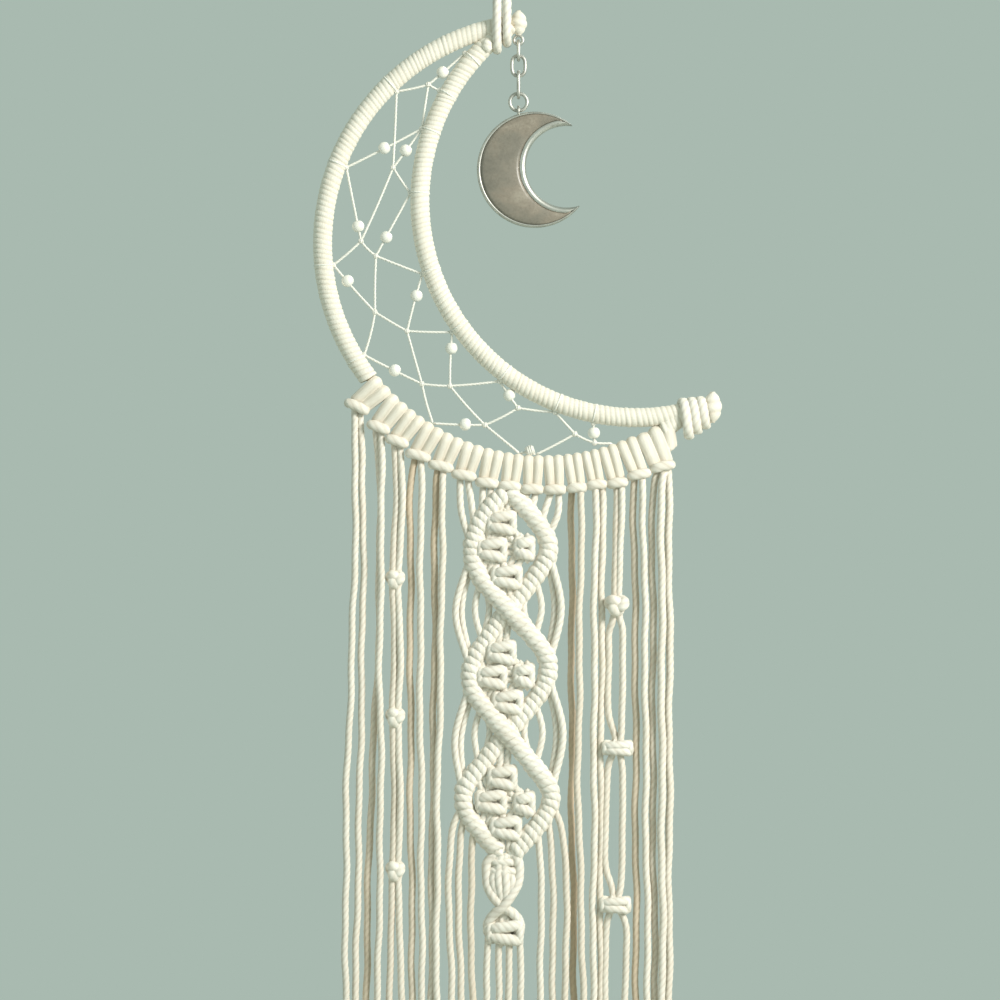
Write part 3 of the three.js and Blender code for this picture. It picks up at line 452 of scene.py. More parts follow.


# The outer arc is bare under the lark's heads; the bare ring is painted in full tan as shade
bareFrom, bareTo = 360 + headEdges(0)[0] - 0.2, 360 + headEdges(len(headPlaces) - 1)[1] + 0.2
hoopParts = [
    ridgedTube(arcPath(hoop["outer"], outerSweep[0], bareFrom), hoop["tubeRadius"], hoop["yarnSlant"]),
    ridgedTube(arcPath(hoop["outer"], bareTo, outerSweep[1]), hoop["tubeRadius"], hoop["yarnSlant"]),
    ridgedTube(arcPath(hoop["inner"], innerLower - 360, innerUpper), hoop["tubeRadius"], -hoop["yarnSlant"]),
    cordPart(arcPath(hoop["outer"], bareFrom - 1, bareTo + 1), radius=hoop["bareRadius"], depth=0.0,
             tone=1.0),
    *[woundLump(middle, half, 3, lean) for middle, half, lean in hoop["knobs"]],
    ridgedTube(sideTip + linspace(-0.1, 1, 24)[:, None] * array([10.5, 0, 2.2]), hoop["stubRadius"], 0.2),
]
makePiece("hoopWrapping", hoopParts, wrapCotton, ["crescent_hoop"])
print("hoop made")

# The eye for the chain, sewn under the top horn

chainLine = {"x": 7.0, "eyeZ": -58.6, "wire": 0.8, "eyeWire": 0.65, "eyeRadius": 2.0, "noLay": 1e6}


def wireRing(path, radius, normal, around):  # a round section carried round a closed path
    return cordPart(path, radius=radius, across=normal, depth=0.0, around=around, ring=True,
                    lay=chainLine["noLay"])


def metalEye(centre, flat):  # a circle of wire, in the plane of flat and up
    turn = fullTurn(40)[:, None]
    path = centre + chainLine["eyeRadius"] * (cos(turn) * flat + sin(turn) * upAxis)
    return wireRing(path, chainLine["eyeWire"], cross(flat, upAxis), 10)


eyeCentre = array([chainLine["x"], 0, chainLine["eyeZ"]])
eyeStem = cordPart(smoothPath([eyeCentre + [0, 0, 1.8], eyeCentre + [0, 0, 7]], 0.8), radius=0.75, depth=0.0,
                   around=10, lay=chainLine["noLay"])
makePiece("hornEye", [metalEye(eyeCentre, rightAxis), eyeStem], silver, [])

# The binding of the right horn: top and bottom are where its first turn bends, a step is the next turn's
# change

binding = {
    "turns": 3, "firstX": 77.6, "pitch": 3.8, "lean": -0.06, "reach": 5.6, "reachStep": -0.35, "top": -226.4,
    "topStep": 0.7, "bottom": -231.5, "bottomStep": 2.0, "radius": 1.5, "wide": 1.6,
}


def hornTurn(order):
    # A racetrack round both tubes, carried sideways by one pitch; it starts and ends behind, and leans with
    # height
    phi = linspace(0.75, 1.75, 160) * 2 * pi
    top, bottom = binding["top"] + binding["topStep"] * order, binding["bottom"] + binding["bottomStep"] * order
    middle, half = (top + bottom) / 2, (top - bottom) / 2
    reach = binding["reach"] + binding["reachStep"] * order
    z = middle + reach * cos(phi) + half * np.tanh(2.2 * cos(phi))
    y = -reach * sin(phi) * (1 - 0.06 * cos(2 * phi))
    x = binding["firstX"] + order * binding["pitch"] + binding["pitch"] * phi / (2 * pi) \
        + binding["lean"] * (z - middle)
    return cordPart(evenSteps(stack([x, y, z], axis=1), 0.9), radius=binding["radius"], flat=binding["wide"],
                    across=rightAxis, tone=0.02, start=order)


makePiece("hornBinding", [hornTurn(order) for order in range(binding["turns"])], cotton,
          ["horn_binding"])

# The hanging loop: one doubled cord, its legs down the front of the top horn, under it and up behind

loop = {"radius": 1.7, "legRadius": 2.15, "legs": 2.2, "footZ": -60.9}


def loopLeg(sign):  # the points of one leg, from behind the horn, under it and up the front to the loop's top
    leg = sign * loop["legs"] - 0.45
    foot = loop["footZ"] + 1.5 * sign  # the horn's tubes rise to the right
    return [
        [leg + 0.2, 3.4, -43.6], [leg, 6.3, -48.0], [leg, 6.2, -55.0], [leg - 0.1, 4.0, foot + 0.8],
        [leg, 0.0, foot - 0.4], [leg, -4.2, foot + 1.0], [leg, -6.3, -55.0], [leg, -6.4, -47.5],
        [leg + 0.1, -5.0, -40.5], [leg + 0.3, -2.6, -35.5], [sign * 1.85, -0.2, -28.0],
        [sign * 2.1, 0.0, -19.0],
        [sign * 3.9, 0.0, -11.0], [sign * 4.2, 0.0, -5.5], [sign * 2.7, 0.0, -0.4],
    ]


loopPath = smoothPath(loopLeg(-1) + [[0, 0, 1.72]] + loopLeg(1)[::-1], 1.0)
slack = clip((-34 - loopPath[:, 2]) / 8, 0, 1)  # the cord is fuller where it is slack, round the horn
loopParts = [cordPart(loopPath, radius=loop["radius"] + (loop["legRadius"] - loop["radius"]) * slack,
                      tone=0.02,
                      depth=0.08),
             woundLump((-6.9, -3.9, -61.4), (2.6, 2.1, 3.1), 2, 0.1, tone=0.05)]
makePiece("hangingLoop", loopParts, cotton, ["hanging_loop"])
print("loop and binding made")

# The web of thread: anchors in degrees round the outer and inner arc, knots as x and z, and the lines between
# them

thread = {
    "radius": 0.62, "lay": 3.6, "tubeReach": 4.4, "hugReach": 4.12, "hugRadius": 0.5, "knotSize": 1.05,
    "anchorSize": 0.95, "sag": -0.25, "sway": 0.22, "lastKnot": 2.4, "lastTurns": 5,
}
outerAnchors = {"o1": 134.1, "o2": 159, "o3": 185.9, "o4": 211.9, "o5": 238.4, "o6": 263.4, "o7": 267.9,
                "o8": 289}
innerAnchors = {"i1": 139.2, "i2": 150.7, "i3": 161.3, "i4": 178, "i5": 198.8, "i6": 215.4, "i7": 232.8,
                "i8": 248.9,
                "i9": 259}
webKnots = {
    "k1": (-49.5, -116.0), "k2": (-63.9, -149.0), "k3": (-57.2, -155.7), "k4": (-57.6, -181.0),
    "k5": (-43.2, -189.5),
    "k6": (-36.5, -213.3), "k7": (-23.9, -214.2), "k8": (-8.1, -231.8), "k9": (6.8, -224.1),
    "k10": (32.4, -235.8),
    "k11": (41.2, -239.8), "k12": (12.1, -243.2), "k13": (-33.6, -78.6),
}
webLinks = (
    "i1 k13, k13 i2, k13 o1, o1 k1, k13 i3, i3 o2, i3 k1, k1 i4, k1 k2, o2 k2, k2 o3, k2 k3, k3 i5, i4 k3, "
    "k3 k4, o3 k4, k4 k5, k5 i6, i5 k5, k4 o4, o4 k6, k5 k6, k6 k7, k6 o5, i6 k7, k7 i7, k7 k8, k8 o6, o5 k8, "
    "k8 k9, i7 k9, k9 i8, i8 k10, o6 k12, k12 o7, o7 k10, k10 k11, i9 k11, k11 o8").split(", ")
beadPlaces = {
    "i1 k13": 0.61, "i3 o2": 0.5, "i3 k1": 0.56, "o2 k2": 0.8, "i4 k3": 0.7, "o3 k4": 0.34, "i5 k5": 0.38,
    "i6 k7": 0.3, "o4 k6": 0.53, "i7 k9": 0.52, "o5 k8": 0.62, "i9 k11": 0.5,
}

webPlaces = {name: onCircle(hoop["outer"], at, -thread["tubeReach"]) for name, at in outerAnchors.items()}
webPlaces |= {name: onCircle(hoop["inner"], at, thread["tubeReach"]) for name, at in innerAnchors.items()}
webPlaces |= {name: array([x, 0.0, z]) for name, (x, z) in webKnots.items()}


def threadPart(path, radius=thread["radius"], across=depthAxis):  # a thin cord of two plies
    return cordPart(path, radius=radius, across=across, lay=thread["lay"], plies=2, depth=0.16, around=8)


def hitchRound(circle, degrees):
    # A turn of thread that hugs the hoop's tube between two turns of the wrapping: a circle, carried 1 mm
    # along
    angle = np.radians(degrees)
    outward = array([cos(angle), 0, sin(angle)])
    along = array([-sin(angle), 0, cos(angle)])
    phi = linspace(0, 2.2 * pi, 34)[:, None]
    path = onCircle(circle, degrees) + thread["hugReach"] * (cos(phi) * outward - sin(phi) * depthAxis) \
        + along * (phi / (2 * pi) - 0.5)
    return threadPart(evenSteps(path, 0.8), radius=thread["hugRadius"], across=along)


def wrapLump(centre, radius, turns=3):
    # A small knot: a thread wound round itself into a ball, as a curve that climbs from one side to the other
    climb, flat = array([1.0, 0, 0.4]), array([-0.37, 0, 0.93])
    t = linspace(0, 1, 40)
    size = radius * 0.75 * np.sqrt(maximum(1 - (2 * t - 1) ** 2 * 0.7, 0.1))[:, None]
    phi = (2 * pi * turns * t)[:, None]
    path = centre + cos(pi * t)[:, None] * climb * radius * 0.6 \
        + size * (cos(phi) * depthAxis + sin(phi) * flat)
    return threadPart(evenSteps(path, 0.5), across=climb)


webParts = []
for ends in webLinks:
    fromPlace, toPlace = (webPlaces[name] for name in ends.split(" "))
    t = linspace(0, 1, 12)[:, None]
    sway = rng.normal(0, thread["sway"], 2)
    bow = sin(pi * t) * array([sway[0], sway[1], thread["sag"]])
    webParts.append(threadPart(evenSteps(fromPlace + t * (toPlace - fromPlace) + bow, 0.9)))
freeAnchors = {name: at for name, at in outerAnchors.items() if not bareFrom < at < bareTo}  # not over heads
webParts += [wrapLump(webPlaces[name], thread["knotSize"]) for name in webKnots]
webParts += [wrapLump(webPlaces[name], thread["anchorSize"]) for name in (*innerAnchors, *freeAnchors)]
webParts += [hitchRound(hoop["inner"], degrees) for degrees in innerAnchors.values()]
webParts += [hitchRound(hoop["outer"], degrees) for degrees in freeAnchors.values()]
# The big knot where the thread is tied off
webParts.append(wrapLump(webPlaces["k12"] + [0, -0.8, 0], thread["lastKnot"], thread["lastTurns"]))
makePiece("threadWeb", webParts, webCotton, ["thread_web"])

bead = {"radius": 2.8, "hole": 0.75, "half": 2.45}


def beadPart(centre, direction):
    # A ball with a hole: a circle's arc from hole to hole, turned about the thread, with a straight bore
    radius, hole, half = bead["radius"], bead["hole"], bead["half"]
    arc = linspace(np.arcsin(hole / radius), pi - np.arcsin(hole / radius), 15)
    out = concatenate([radius * sin(arc), np.full(4, hole)])[:, None, None]
    along = concatenate([clip(radius * cos(arc), -half, half), linspace(-half, half, 4)])[:, None, None]
    d = unit(direction)
    side = unit(cross(d, depthAxis))
    turn = fullTurn(20)[:, None]
    radial = cos(turn) * side + sin(turn) * cross(d, side)
    return gridPart(centre + out * radial + along * d, ring=True)


beadParts = []
for ends, at in beadPlaces.items():
    fromPlace, toPlace = (webPlaces[name] for name in ends.split(" "))
    beadParts.append(beadPart(fromPlace + at * (toPlace - fromPlace), toPlace - fromPlace))
makePiece("pearlBeads", beadParts, pearl, [f"bead_{order + 1}" for order in range(12)])
print("web made")

# Lark's heads: two flattened turns of the doubled cord round the ring, held by a bar across their foot


def headFrame(number):  # the middle of a head's bar, and the way it runs: part of the arc's own slope there
    degrees, reach = headPlaces[number]
    angle = np.radians(degrees)
    slope = np.arctan2(cos(angle), -sin(angle)) * head["tiltShare"]
    return onCircle(hoop["outer"], degrees, reach), array([cos(slope), 0, sin(slope)])


def headParts(number):
    # A turn is a circle round the ring whose lower half is drawn out to the bar: its radius outwards grows
    # with the
    # cosine, its depth shrinks with it, and its place along the ring moves in towards the bar's middle
    before, after = np.radians(headEdges(number))
    barAngle, reach = np.radians(headPlaces[number][0]), headPlaces[number][1]
    radius, parts = hoop["outer"][2], []
    last = number == len(headPlaces) - 1  # the last head has one turn more, a shorter one
    phi = fullTurn(64)
    low = maximum(cos(phi), 0)
    above = (head["lastPress"] if last else 1.0) * head["ringReach"] * cos(phi)
    depth = (head["ringReach"] - (head["ringReach"] - head["lowDepth"]) * low ** 1.5) * sin(phi)
    wide = radius * (after - before) / 4 * head["widthShare"] / 0.5
    for side in (-0.5, 0.5, 1.5) if last else (-0.5, 0.5):
        drawn = reach - head["turnGap"] if side < 1 else head["thirdReach"] * reach
        out = np.where(cos(phi) > 0, drawn * low, above)
        middle = (before + after) / 2 + side * (after - before) / 2 * (1 - head["narrowing"] * low)
        angle = middle + low * (barAngle - (before + after) / 2)
        along = stack([-sin(angle), 0 * angle, cos(angle)], axis=1)
        parts.append(cordPart(onCircle(hoop["outer"], np.degrees(angle), out, depth),
                              radius=head["thickness"],
                              across=along, lay=head["turnLay"], flat=wide / head["thickness"], twist=False,
                              plies=4,
                              tone=head["tone"], ring=True, depth=0.1, around=16))
    barPlace, barWay = headFrame(number)
    half = (radius + reach) * min(barAngle - before, after - barAngle, head["barAngle"]) - 0.35
    s = linspace(-1, 1, 15)[:, None]
    bar = evenSteps(barPlace + barWay * s * half + depthAxis * (head["barY"] + 2.4 * s ** 4) - upAxis * 0.5 * s ** 2,
                    0.8)
    swell = 1 - 0.2 * linspace(-1, 1, len(bar)) ** 2
    parts.append(cordPart(bar, radius=head["barRadius"] * swell, lay=head["barLay"], tone=0.5 * head["tone"],
                          start=rng.uniform(0, 6), flat=head["barFlat"], depth=0.05))
    return parts


# Cords beside the panel

heights = [-265.0, -333.0, -400.0, -490.0]
strandEnd = -640.0
strandTops = (-1, 1, 1.9)  # where a head's cords start on its bar, in parts of topSpread
hanging = {
    "topSpread": 1.3, "clearOfKnot": 14, "knotSpread": 1.1, "knotDepth": -2.6, "sway": 0.35, "tiedSway": 0.2,
    "fray": 0.22, "frayLength": 7,
}
# by lark's head: each cord's depth, x at the heights, place of its end, how much tan its top and foot get as painted
# shade for a cord in its neighbour's shadow
strands = {
    0: [(-1.9, (-66.2, -67.8, -70.3, -70.7), 3, (0.0, 0.0)), (1.9, (-63.0, -63.4, -64.6, -66.2), -2,
                                                              (0.0, 0.05))],
    1: [(1.9, (-55.4, -56.2, -59.4, -61.6), 5, (0.1, 0.6)), (-1.9, (-54.4, -55.4, -54.9, -56.2), -4,
                                                             (0.0, 0.1))],
    2: [(0.4, (-48.0, -48.9, -49.0, -51.0), 0, (0.1, 0.25)), (-0.8, (-45.0, -45.8, -45.9, -45.6), 4,
                                                              (0.0, 0.1))],
    3: [(1.2, (-41.6, -41.6, -41.6, -40.8), -5, (0.7, 0.35)),
        (-1.2, (-36.7, -37.3, -36.8, -36.6), 2, (0.05, 0.05))],
    4: [(0.9, (-30.4, -30.8, -31.6, -32.2), -3, (0.75, 0.1)),
        (-1.5, (-27.2, -27.9, -29.4, -29.8), 3, (0.1, 0.0))],
    10: [(3.7, (31.0, 31.0, 31.0, 32.0), 2, (0.7, 0.8)), (-1.4, (35.1, 34.4, 33.8, 36.0), -4, (0.25, 0.2))],
    11: [(-1.6, (41.6, 40.9, 40.9, 40.4), 4, (0.0, 0.0)), (0.6, (44.8, 44.4, 44.0, 43.7), 0, (0.05, 0.15))],
    12: [(0.4, (51.2, 47.5, 46.4, 46.0), -3, (0.2, 0.1)), (-1.0, (53.4, 53.6, 53.5, 54.8), 5, (0.0, 0.1))],
    13: [(1.6, (58.8, 59.6, 59.7, 59.9), -2, (0.35, 0.7)), (-1.6, (62.8, 63.8, 64.1, 65.0), 3, (0.0, 0.0))],
    14: [(1.6, (67.4, 67.5, 67.4, 68.4), -4, (0.15, 0.2)),
         (-1.9, (71.2, 71.3, 71.3, 71.6), 2, (0.0, 0.0)),
         (1.9, (74.6, 74.9, 74.8, 74.6), -1, (0.05, 0.1))],
}
strandExtras = {  # by lark's head and cord: more places on the way, as x and z, or another radius
    (12, 0): {"bends": ((47.6, -325), (47.4, -352), (47.8, -363), (50.4, -371.5),
                        (47.0, -386), (46.2, -428), (49.0, -440), (46.2, -459))},
    (12, 1): {"bends": ((53.4, -323), (53.6, -366), (53.7, -387), (53.4, -436), (55.4, -459))},
    (14, 1): {"radius": 1.85}, (14, 2): {"radius": 1.85},
}
strandKnots = {  # by lark's head: each knot's x, z, width, height, depth and kind
    2: [(-48.4, -301.0, 9.4, 9.4, -1.4, "overhand"),
        (-48.4, -363.0, 9.4, 10.0, -1.4, "overhand"),
        (-48.4, -432.0, 9.4, 10.4, -1.4, "overhand")],
    12: [(51.0, -312.5, 12.0, 10.6, -4.4, "overhand"),
         (51.4, -376.8, 14.6, 6.0, -4.4, "bar"),
         (50.4, -447.2, 14.6, 7.4, -4.4, "bar")],
}
tiedKnot = {"radius": 2.65, "depth": 1.9, "barRadius": 1.9}
flatKnot = {"depth": 2.7, "level": 0.205, "tilt": 0.09, "loopHalf": 0.3, "coreRadius": 1.5, "lay": 8.0}


def swayed(path, amount, wave=70.0):
    # A slack cord's slow waves: two sines of random phase, which fade in below the top
    gone = lengthsAlong(path)
    reach = amount * clip(gone / 25, 0, 1)
    phases = rng.uniform(0, 2 * pi, 4)
    x = sin(2 * pi * gone / wave + phases[0]) + 0.5 * sin(2 * pi * gone / (0.37 * wave) + phases[1])
    y = sin(2 * pi * gone / (0.8 * wave) + phases[2])
    return path + stack([reach * x, 0.5 * reach * y, 0 * x], axis=1)


def hangingCord(route, tanAndShade, radius=cord["radius"], amount=hanging["sway"]):
    # A cord on a smooth path through the route, whose painted shade turns from one tone to the other, and which
    # frays at its end
    path = swayed(smoothPath(route), amount)
    share = clip((path[:, 2] - heights[0]) / (heights[3] - heights[0]), 0, 1)
    tone = 0.1 + 0.85 * (tanAndShade[0] + (tanAndShade[1] - tanAndShade[0]) * share)
    gone = lengthsAlong(path)
    fray = 1 + hanging["fray"] * clip(1 - (gone[-1] - gone) / hanging["frayLength"], 0, 1) ** 2
    return cordPart(path, radius=radius * fray, tone=tone, start=rng.uniform(0, 6), endLength=0.25,
                    lay=cord["lay"] * rng.uniform(0.93, 1.07))


def overhandKnot(x, z, width, height, y):
    # Two cords tied in one overhand knot: a trefoil curve, sin t + 2 sin 2t by cos t - 2 cos 2t, squeezed to
    # its size
    t = fullTurn(70)
    reach = array([width / 2 - 2.5, tiedKnot["depth"], height / 2 - 2.5])
    curve = stack([(sin(t) + 2 * sin(2 * t)) / 3, -sin(3 * t), (cos(t) - 2 * cos(2 * t)) / 3], 1)
    return [cordPart(array([x, y, z]) + curve * reach, radius=tiedKnot["radius"],
                     across=unit(curve) + 0.3 * depthAxis, tone=0.05, ring=True, lay=8.0, depth=0.05)]


def squareKnot(x, z, width, height, radius, y=-1.4):
    # A flat knot: two cords cross in front from side to side, then back again below, round an upright pair.
    # Each
    # half is a ring that dips in the middle on one side and rises on the other, between two loops at the
    # sides
    parts, centre, lay = [], array([x, y, z]), flatKnot["lay"]
    phi = fullTurn(56)[:, None]
    for half in (-1, 1):
        reach = (width / 2 - radius) * np.sign(cos(phi)) * np.abs(cos(phi)) ** 0.7
        tilt = flatKnot["tilt"] * height * cos(phi) * -half * np.where(sin(phi) > 0, 1, -0.4)
        path = centre + rightAxis * reach - depthAxis * (flatKnot["depth"] * sin(phi)) \
            + upAxis * (-half * flatKnot["level"] * height + tilt)
        parts.append(cordPart(evenRing(path, 1.0), radius=radius, across=upAxis, ring=True, lay=lay,
                              start=rng.uniform(0, 6), flat=1.15, depth=0.07))
    phi = fullTurn(30)[:, None]
    s = linspace(-1, 1, 13)[:, None]
    for side in (-1, 1):
        loopCentre = array([x + side * (width / 2 - radius * 1.1), y - 0.6, z])
        path = loopCentre + upAxis * (flatKnot["loopHalf"] * height * cos(phi)) \
            + rightAxis * (side * 0.5 * sin(phi)) - depthAxis * (1.3 * sin(phi))
        parts.append(cordPart(evenRing(path, 0.9), radius=0.86 * radius, across=rightAxis, ring=True,
                              lay=lay))
        core = array([x + side * 1.5, y + 0.2, z]) + s * (-height / 2 - 0.8) * upAxis
        parts.append(cordPart(evenSteps(core, 1.3), radius=flatKnot["coreRadius"], tone=0.06, lay=lay))
    return parts


def pairParts(number):  # a lark's head with its cords, which run through the knots tied into them
    knots = strandKnots.get(number, [])
    barPlace, barWay = headFrame(number)
    parts = headParts(number)
    for order, (y, places, end, tanAndShade) in enumerate(strands[number]):
        more = strandExtras.get((number, order), {})
        depth = 0.3 * y + 0.9
        top = barPlace + barWay * strandTops[order] * hanging["topSpread"]
        beside = -hanging["knotSpread"] if order == 0 else hanging["knotSpread"]
        stops = [(x, y - 1.2, z) for x, z in zip(places, heights)
                 if all(abs(knot[1] - z) > hanging["clearOfKnot"] for knot in knots)]
        stops += [(x, y - 1.2, z) for x, z in more.get("bends", ())]
        stops += [(knot[0] + beside, max(knot[4], hanging["knotDepth"]), knot[1]) for knot in knots]
        stops.sort(key=lambda stop: -stop[2])
        route = [(top[0], depth, top[2] + 3.0), (top[0], depth - 0.3, top[2] - 1.0), *stops,
                 (stops[-1][0], stops[-1][1], strandEnd + end)]
        amount = hanging["tiedSway"] if knots else hanging["sway"]
        parts.append(hangingCord(route, tanAndShade, more.get("radius", cord["radius"]), amount))
    for x, z, width, height, y, kind in knots:
        parts += overhandKnot(x, z, width, height, y) if kind == "overhand" \
            else squareKnot(x, z, width, height, tiedKnot["barRadius"], y + 1.4)
    return parts


for sideName, firstNumber in (("left", 0), ("right", 10)):
    for order in range(5):
        makePiece(f"{sideName}Pair{order + 1}", pairParts(firstNumber + order), cotton,
                  [f"cords_{sideName}_{order + 1}"])
print("side cords made")

# The macrame panel

panel = {
    "firstHead": 5, "lastHead": 9, "hitchPitch": 3.3, "hitchReach": 3.15, "hitchRadius": 1.35,
    "hitchFlat": 1.7,
    "hitchStep": 1.2, "coreRadius": 3.0, "knotHeight": 12.6, "knotRadius": 2.25, "pairRadius": 1.66,
    "pairSpread": 1.6, "frontRadius": 1.72, "backRadius": 1.55, "y": -1.2,
}
# The two bars that zigzag down the panel, as x, y, z of their bends: they cross three times, each once in
# front
zigzags = [
    [(0.7, -1.4, -261.8), (-10.2, -1.4, -275.0), (-13.8, -1.3, -287.6), (-10.8, -1.8, -299.4),
     (0.6, -3.2, -313.0),
     (13.3, -3.2, -327.0), (19.2, -2.4, -335.2), (20.2, -1.2, -343.0), (16.1, -0.6, -353.0),
     (1.3, -0.4, -370.6),
     (-9.4, -0.7, -384.4), (-16.2, -1.0, -392.8), (-17.8, -1.3, -400.0), (-14.6, -1.5, -409.0),
     (-1.0, -1.7, -424.8)],
    [(2.4, -1.0, -261.6), (12.9, -1.0, -272.3), (19.8, -1.0, -283.0), (19.6, -1.1, -291.6),
     (11.5, -0.6, -303.7),
     (1.4, -0.2, -316.2), (-7.9, -0.5, -329.1), (-14.0, -1.2, -340.0), (-13.6, -1.9, -351.2),
     (-5.7, -2.9, -361.6),
     (1.6, -3.3, -370.2), (11.0, -3.2, -381.7), (19.6, -2.4, -392.6), (21.6, -1.6, -400.4),
     (17.0, -1.2, -410.0),
     (3.2, -0.9, -426.0)],
]
# Square knots in each diamond, top, left, right and bottom: place and width
diamondKnots = [
    [(-0.7, -275.6, 14.4), (-5.0, -287.8, 14.6), (9.5, -287.2, 10.6), (1.6, -300.0, 15.0)],
    [(-0.7, -334.0, 14.2), (-5.0, -345.0, 14.6), (9.4, -344.4, 10.6), (2.0, -356.2, 15.0)],
    [(-0.4, -390.2, 14.4), (-5.4, -401.0, 15.2), (9.5, -402.0, 10.8), (1.2, -412.8, 15.2)],
]
crossings = [(1.5, -264.0), (1.6, -313.6), (1.8, -370.0), (1.0, -424.5)]
sideCords = [
    ((-15.4, -293), (-21.3, -316), (-15.6, -339), -1.6), ((-14.4, -294), (-18.6, -316), (-14.2, -338), 0.8),
    ((-9.4, -299), (-12.6, -315), (-9.0, -330), -0.6), ((21.4, -291), (26.2, -314), (21.4, -337), -1.6),
    ((20.2, -292), (23.2, -314), (19.8, -337), 0.8), ((14.4, -300), (17.4, -314), (14.2, -328), -0.6),
    ((-15.4, -350), (-21.6, -373), (-18.6, -396), -1.6), ((-13.8, -352), (-18.9, -373), (-17.2, -396), 0.8),
    ((-8.6, -303), (-6.2, -314), (-8.4, -326), 0.4), ((12.4, -302), (9.4, -313), (11.8, -325), 0.4),
    ((-8.2, -359), (-6.0, -370), (-8.8, -382), 0.4), ((12.2, -358.5), (9.6, -369.6), (12.2, -382), 0.4),
    ((-9.6, -357), (-12.8, -371), (-10.6, -386), -0.6), ((21.0, -346), (27.0, -370), (22.6, -394), -1.6),
    ((20.0, -347), (24.0, -370), (21.0, -394), 0.8), ((14.0, -355), (17.8, -370), (14.4, -386), -0.6),
]
panelEnds = [  # cords below: where each starts, x at its bend and below, depth, place of its end, tan as painted shade
    ((-18.4, -402), (-24.0, -23.2), -1.0, 2, (0.1, 0.1)),
    ((-16.8, -405), (-19.8, -19.0), 1.0, -4, (0.15, 0.15)),
    ((-13.0, -411), (-14.4, -13.8), 0.0, 4, (0.25, 0.35)),
    ((-6.6, -461), (-7.8, -7.6), 0.0, -2, (0.0, 0.0)),
    ((-1.8, -461), (-2.2, -2.0), 0.4, 5, (0.1, 0.1)),
    ((2.8, -461), (2.8, 2.8), -0.4, -3, (0.15, 0.15)),
    ((7.6, -461), (8.2, 7.8), 0.0, 1, (0.0, 0.05)),
    ((15.4, -411), (16.8, 17.0), 0.0, -3, (0.0, 0.0)),
    ((19.8, -406), (22.0, 22.6), 1.0, 3, (0.1, 0.1)),
    ((22.4, -402), (27.8, 28.2), -1.4, -2, (0.1, 0.2)),
]


def hitchedBar(points):
    # Half hitches side by side: a cord wound round the bar's own line, one turn each pitch
    axis = smoothPath(points, 0.5)
    gone = lengthsAlong(axis)
    turns = round(gone[-1] / panel["hitchPitch"])
    s = linspace(0, 1, turns * 26)
    middle = pointsAt(axis, gone, s * gone[-1])
    tangent = unit(np.gradient(middle, axis=0))
    side = unit(cross(tangent, depthAxis))
    front = cross(side, tangent)
    phi = 2 * pi * turns * s
    swell = (1 + 0.05 * sin(0.37 * phi + 1.0) + 0.04 * sin(0.11 * phi))[:, None]
    taper = clip(minimum(s, 1 - s) * gone[-1] / 2.5, 0.45, 1)[:, None]
    path = middle + panel["hitchReach"] * swell * taper * (
        cos(phi)[:, None] * side + 0.8 * sin(phi)[:, None] * front) + (0.7 * sin(phi))[:, None] * tangent
    far = lengthsAlong(path)
    turned = evenSteps(path, panel["hitchStep"])
    across = pointsAt(tangent, far, linspace(0, far[-1], len(turned)))
    core = cordPart(evenSteps(axis, 2.0), radius=panel["coreRadius"], tone=0.1, depth=0.05, around=8)
    return [core, cordPart(turned, radius=panel["hitchRadius"], across=across, start=rng.uniform(0, 6),
                           depth=0.04,
                           lay=8.5, flat=panel["hitchFlat"])]


def linkPair(start, end):  # two straight cords side by side between two places in the panel
    a, b = array([start[0], panel["y"], start[1]]), array([end[0], panel["y"], end[1]])
    beside = cross(unit(b - a), depthAxis)
    s = linspace(0, 1, 14)[:, None]
    return [cordPart(evenSteps(a + s * (b - a) + beside * (side * panel["pairSpread"]), 1.25),
                     radius=panel["pairRadius"], tone=0.05, start=rng.uniform(0, 6)) for side in (-1, 1)]


panelParts = []
for number in range(panel["firstHead"], panel["lastHead"] + 1):
    panelParts += headParts(number)
topLines = [smoothPath(points[:3], 1.0) for points in zigzags]
for order in range(10):  # the heads' cords run down to the tops of the two bars
    barPlace, barWay = headFrame(panel["firstHead"] + order // 2)
    side = -1 if order % 2 == 0 else 1
    top = barPlace + barWay * side * 1.75
    line = topLines[0 if order < 5 else 1]
    end = line[min(len(line) - 1, int(abs(order - 4.5) / 4.6 * len(line)))]
    bow = side * 2.2 if order in (0, 9) else 0
    route = [[top[0], 0.9, top[2] + 3], [top[0], 0.6, top[2] - 1],
             [(top[0] + end[0]) / 2 + bow, -0.9, (top[2] + end[2]) / 2], [end[0], panel["y"], end[2]]]
    panelParts.append(cordPart(smoothPath(route), tone=0.06, start=rng.uniform(0, 6)))
for points in zigzags:
    panelParts += hitchedBar(points)
for diamond, knots in enumerate(diamondKnots):
    top, left, right, bottom = knots
    upper, lower = crossings[diamond], crossings[diamond + 1]
    fromBar, toBar = (left[0] - 4.9, left[1] + 11.0), (left[0] - 3.0, left[1] - 11.0)
    for start, end in ((upper, top), (top, left), (top, right), (left, bottom), (right, bottom),
                       (bottom, lower),
                       (fromBar, left), (left, toBar), (left, right)):
        panelParts += linkPair(start, end)
    for x, z, width in knots:
        panelParts += squareKnot(x, z, width, panel["knotHeight"], panel["knotRadius"])
for start, middle, end, y in sideCords:
    route = [[x, y, z] for x, z in (start, middle, end)]
    radius = panel["frontRadius"] if y < -1 else panel["backRadius"]
    panelParts.append(cordPart(smoothPath(route), radius=radius, tone=0.04, start=rng.uniform(0, 6)))

# The two end knots: outer cords bulge past two holes and cross at a waist over the inner ones, then one
# square knot

